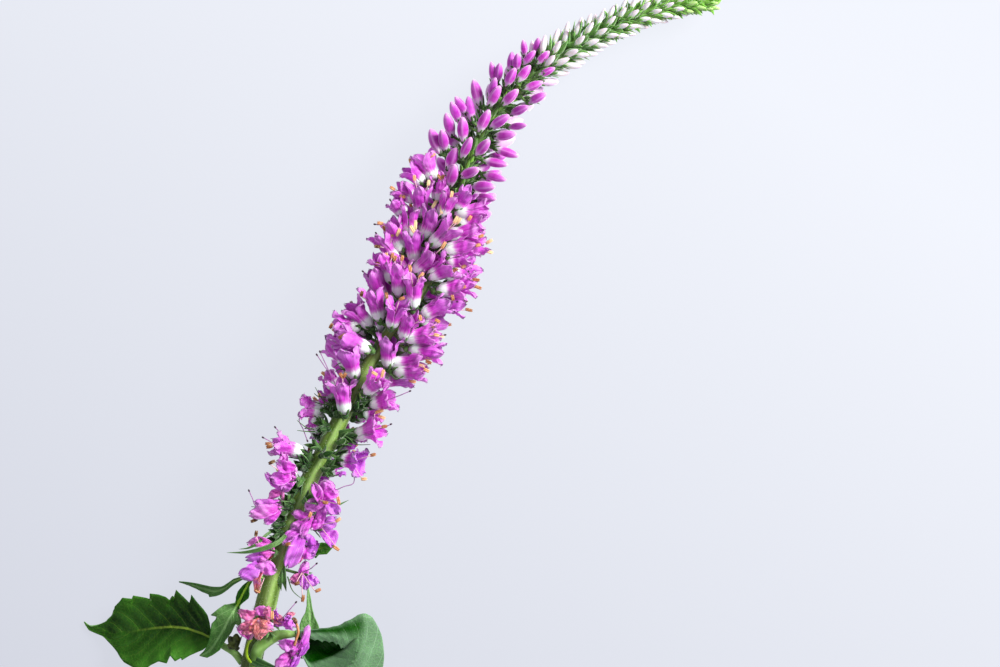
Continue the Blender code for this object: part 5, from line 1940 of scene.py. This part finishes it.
def cover_stem(skin, draw):
    """Short pointed bracts on the upper side of the stem, lighter and yellower towards the tip."""
    for number in range(COVER_BRACTS):
        share = number / COVER_BRACTS
        along = (COVER_FROM + (COVER_TO - COVER_FROM) * share) * MM
        turn = math.radians(draw.uniform(-25, 205))
        point, tangent, outward, _ = AXIS.outward(STEM_LENGTH + along, turn)
        far = grown_at(along / MM).stalk * MM * 0.75
        base = point + outward * (AXIS.radius(STEM_LENGTH + along) + draw.uniform(0.2, 1.0) * far)
        flower = Flower("bract", along, point, base, tangent, 0.0, MM, MM)
        length = draw.uniform(2.2, 3.6) * (1 - 0.35 * share) * MM
        fresh = float(ramped(share, 0.45, 0.55))
        shade = draw.uniform(0.1, 0.6) + 0.4 * min(1.0, share * 2.5)
        bright = min(1.0, fresh * 0.7 + max(0.0, draw.uniform(-0.9, 0.8)))
        add_bract(skin, flower, draw, length, draw.uniform(0.7, 1.1) * MM, 0.4, tone=shade, age=bright)


def add_open_flower(skins, flower, shade, draw):
    """An open flower with its calyx, stalk and bract, and its stamens if it stands by the rule."""
    if flower.kind == "open":
        share = float(lookup(SMALL_FLOWERS, flower.along / MM))
        flower = flower._replace(length=flower.length * share, width=flower.width * share)
    is_loose = flower.along < OPEN_FROM
    crowded = "petals_dense" if flower.along < DENSE_HALF else "petals_upper"
    crumple = LOOSE_CRUMPLE if is_loose else float(lookup(CRUMPLE, flower.along / MM))
    petals = skins["petals_loose" if is_loose else crowded]
    add_corolla(petals, flower, draw, crumple, LOOSE_DEEP if is_loose else 0.0)
    add_calyx(skins["calyces"], flower, draw, *OPEN_CALYX, tone=shade)
    add_stalk(skins["calyces"], flower, *OPEN_STALK, tone=shade)
    add_bract(skins["small_leaves"], flower, draw, draw.uniform(3.0, 4.6) * MM, 1.25 * MM, 0.9, tone=shade)
    if flower.kind == "open":
        add_stamens(skins, flower, draw, draw.uniform(0.0, 1.0))


def add_pink_bud(skins, flower, shade, draw):
    """A pink bud with its calyx, stalk, bract and small leaves. The upper ones by the rule are paler."""
    tone = draw.random()
    pale = 0.8 if flower.kind == "bud" and flower.along > PALE_FROM else 0.0
    foot = flower.base - flower.direction * 0.2 * MM
    shape = (PINK_BUD, flower.length, flower.width / 2 * 0.95, 16, 0.08)
    add_spindle(skins["pink_buds"], foot, flower.direction, flower.spin, *shape, tone=tone, age=pale)
    add_calyx(skins["calyces"], flower, draw, *PINK_CALYX, tone=shade)
    add_stalk(skins["calyces"], flower, *PINK_STALK, tone=shade)
    add_bract(skins["small_leaves"], flower, draw, draw.uniform(2.8, 4.0) * MM, 0.75 * MM, 0.8, tone=shade)
    add_stalk_leaves(skins["small_leaves"], flower, draw, 3, 2.3 * MM, 0.85 * MM, tone=shade * 0.7)


def add_white_bud(skins, flower, shade, draw):
    """A white bud with its calyx, stalk, leaves and bract, all greener towards the tip of the spike."""
    young = 0.9 if flower.kind == "tip" else 0.0
    fresh = float(ramped(flower.along, FRESH_FROM, FRESH_REACH))
    shape = (WHITE_BUD, flower.length * 1.1, flower.width / 2 * 0.84, 12, 0.06)
    add_spindle(skins["white_buds"], flower.base, flower.direction, flower.spin, *shape, age=young)
    add_calyx(skins["calyces"], flower, draw, *WHITE_CALYX, tone=shade + 0.65, age=fresh * 0.65)
    add_stalk(skins["calyces"], flower, *WHITE_STALK, tone=shade + 0.3, age=fresh * 0.6)
    leafy = skins["small_leaves"]
    add_stalk_leaves(leafy, flower, draw, 2, 2.2 * MM, 0.8 * MM, tone=shade + 0.8, age=fresh * 0.6)
    length = draw.uniform(1.15, 1.45) * (flower.base - flower.root).length + flower.length * 0.85
    lean = math.radians(grown_at(flower.along / MM).lean) * draw.uniform(0.75, 1.0)
    add_bract(leafy, flower, draw, length, 1.55 * MM, lean, tone=shade + 0.9, age=fresh * 0.75)


MAKERS = {
    "seen": add_open_flower,
    "open": add_open_flower,
    "seen_bud": add_pink_bud,
    "bud": add_pink_bud,
    "white": add_white_bud,
    "tip": add_white_bud,
}


def add_spike(skins, flowers):
    """Every flower, bud and bract of the spike."""
    draw = random.Random(LOOKS_SEED)
    for number, flower in enumerate(flowers):
        shade = draw.uniform(0.0, 0.5)
        if number >= LOOSE_ROWS:
            MAKERS[flower.kind](skins, flower, shade, draw)
    cover_stem(skins["small_leaves"], draw)
    for right, down, petals in LOOSE_FLOWERS:
        foot, root, _ = off_axis(picture_point(right, down), TUBE_STANDS_OFF)
        add_loose_flower(skins["petals_loose"], skins["calyces"], petals, foot, root, draw)


def add_dried_stamen(skin):
    """The thick brown stamen that lies over the side spray."""
    dried = picture_curve(DRIED_STAMEN, 12)
    add_pipe(skin, dried, np.linspace(0.3, 0.24, 12) * MM, 7, age=0.62)
    add_spindle(skin, dried[0], [-0.3, 0.5, 0.1], 0.4, ANTHER_PROFILE, 1.5 * MM, 0.5 * MM, 9, 0.3, age=1.0)


def add_seen_stamens(skins, seen):
    """The stamens that show in the picture, each with its thread from the nearest flower's throat."""
    for right, down, heading, length, age in ANTHERS:
        spot = picture_point(right, down)
        flower = nearest_flower(seen, spot)
        mouth = flower.base + flower.direction * flower.length * 0.75
        middle = np.array([spot.x, spot.y, mouth.z + min(1.6 * MM, flower.width * 0.35)])
        turn = math.radians(heading)
        along = np.array([math.cos(turn), math.sin(turn), 0.1])
        add_anther(skins["anthers"], middle, along, max(SHORTEST_ANTHER, length) * PICTURE_STEP, age)
        throat = np.array(flower.base + flower.direction * flower.length * TUBE_SHARE * 1.2)
        if np.linalg.norm(throat - middle) < LONGEST_FILAMENT:
            end = middle - unit(along) * length * PICTURE_STEP * 0.4
            lift = (throat + end) / 2 + UP * 0.6 * MM
            add_pipe(skins["filaments"], curve_points([throat, lift, end], 8), FILAMENT_RADIUS, 5, age=age)


def make_styles(seen, paints):
    """Pistils: a thin lilac thread with a small dark end."""
    skin, ends = Skin(), Skin()
    for row in STYLES:
        flower = nearest_flower(seen, picture_point(*row[:2]))
        height = (flower.base + flower.direction * flower.length * 0.6).z / MM + 0.8
        start = picture_point(*row[:2], height)
        end = picture_point(*row[2:], height + 0.4)
        middle = (start + end) / 2 + Vector((0, 0, 0.3 * MM))
        throat = flower.base + flower.direction * flower.length * 0.4
        add_pipe(skin, curve_points([throat, start, middle, end], 12), FILAMENT_RADIUS, 5)
        heading = (end - start).normalized()
        tip = end - heading * 0.2 * MM
        add_spindle(ends, tip, heading, 0.0, ANTHER_PROFILE, 0.6 * MM, 0.19 * MM, 7, age=1.0)
    skin.piece("styles", paints["style"], "floret_pink", "flower_spike")
    ends.piece("style_ends", paints["thread"], "floret_pink", "flower_spike")


def make_threads(paints):
    """Thin dark stalks, and the narrow bracts that stand out or bend over the left flowers."""
    skin = Skin()
    for row in THREADS:
        root = AXIS.point(AXIS.nearest(picture_point(*row[0])))
        rows = [(right, down, root.z / MM + THREAD_RISE) for right, down in row]
        add_pipe(skin, picture_curve(rows, 14), np.linspace(0.16, 0.06, 14) * MM, 5)
    for row in BRACTS:
        start, end = ends_in_picture(row)
        root = AXIS.point(AXIS.nearest(start))
        rise = math.radians(row[4])
        tip = Vector((end.x, end.y, root.z + (end.xy - root.xy).length * math.tan(rise)))
        middle = root.lerp(tip, 0.5) + Vector((0, 0, 0.8 * MM))
        add_blade(skin, curve_points([root, middle, tip], 16), UP, row[5] * MM, LONG_BRACT, tone=0.15)
    for rows, width in CURVED_BRACTS:
        add_blade(skin, picture_curve(rows, 18), UP, width * MM, LONG_BRACT, tone=0.3)
    skin.piece("threads_and_bracts", paints["small_green"], "leaf_dark", "flower_spike")


def make_stage():
    """A pale surface that glows a little, so that shadows on it stay faint. The glow is painted light,
    brighter towards +x and +y.
    """
    bpy.ops.mesh.primitive_plane_add(size=FLOOR_SIZE, location=(0, 0, 0))
    floor = bpy.context.object
    floor.name = "floor"
    paint = Paint("floor", 0.9, 0.0)
    split = paint.node("ShaderNodeSeparateXYZ")
    paint.put(split.inputs[0], paint.place())
    # Painted light: the glow's colour grows brighter towards +x and +y, a painted fall-off of the light.
    slope = paint.plus(split.outputs[1], paint.times(split.outputs[0], 0.65))
    share = paint.math("ADD", paint.times(slope, 4.5), 0.45, clamp=True)
    paint.colour(rgb(56, 57, 61))
    paint.put(paint.shader["Emission Color"], paint.mix(share, rgb(214, 217, 228), rgb(244, 247, 255)))
    paint.shader["Emission Strength"].default_value = FLOOR_GLOW
    floor.data.materials.append(paint.material)


def area_light(name, place, size, power, colour):
    """A square lamp that faces the flower."""
    data = bpy.data.lights.new(name, "AREA")
    data.shape = "SQUARE"
    data.size = size
    data.energy = power
    data.color = colour
    obj = bpy.data.objects.new(name, data)
    bpy.context.scene.collection.objects.link(obj)
    obj.location = place
    obj.rotation_euler = (Vector(place) - Vector(LIT_POINT)).to_track_quat("Z", "Y").to_euler()


def make_lights():
    """A soft sky and two large lamps: a window at the upper right and a weak fill at the lower left."""
    world = bpy.data.worlds.new("soft_sky")
    world.use_nodes = True
    sky = world.node_tree.nodes["Background"].inputs
    sky[0].default_value = SKY_COLOUR
    sky[1].default_value = SKY_STRENGTH
    bpy.context.scene.world = world
    for row in AREA_LIGHTS:
        area_light(*row)


def make_camera():
    """Straight above, where one picture step at the flower's middle height is PICTURE_STEP."""
    width = PICTURE_SIZE[0] * PICTURE_STEP
    middle = picture_point(PICTURE_SIZE[0] / 2, PICTURE_SIZE[1] / 2)
    data = bpy.data.cameras.new("camera")
    data.lens = LENS
    data.sensor_width = SENSOR
    data.clip_start = 0.01
    camera = bpy.data.objects.new("camera", data)
    camera.location = (middle.x, middle.y, MIDDLE_HEIGHT + width * LENS / SENSOR)
    bpy.context.scene.collection.objects.link(camera)
    bpy.context.scene.camera = camera


def make_stem(paints):
    """The stem's skin, the spike's stalk, which goes a little way into it, and the hairs on both."""
    stem = axis_skin(0.0, STEM_LENGTH + 0.5 * MM)
    stem.piece("stem_skin", paints["stem"], "stem_green", "stem")
    stalk = axis_skin(STEM_LENGTH - 0.4 * MM, AXIS.length)
    stalk.piece("spike_stalk", paints["stem"], "stem_green", "flower_spike")
    stem_hairs().piece("stem_hairs", paints["hair"], "stem_green")


def main():
    bpy.context.scene.view_settings.view_transform = "Standard"
    paints = make_paints()
    make_stem(paints)
    flowers = spike_flowers()
    seen = [flower for flower in flowers if flower.kind == "seen"]
    skins = {name: Skin() for name in SPIKE_PIECES}
    add_spike(skins, flowers)
    add_dried_stamen(skins["anthers"])
    add_seen_stamens(skins, seen)
    make_pieces(skins, SPIKE_PIECES, paints, "flower_spike")
    make_empty_calyces(paints)
    make_leaves(paints)
    make_sprays(paints)
    make_styles(seen, paints)
    make_threads(paints)
    make_stage()
    make_lights()
    make_camera()


main()
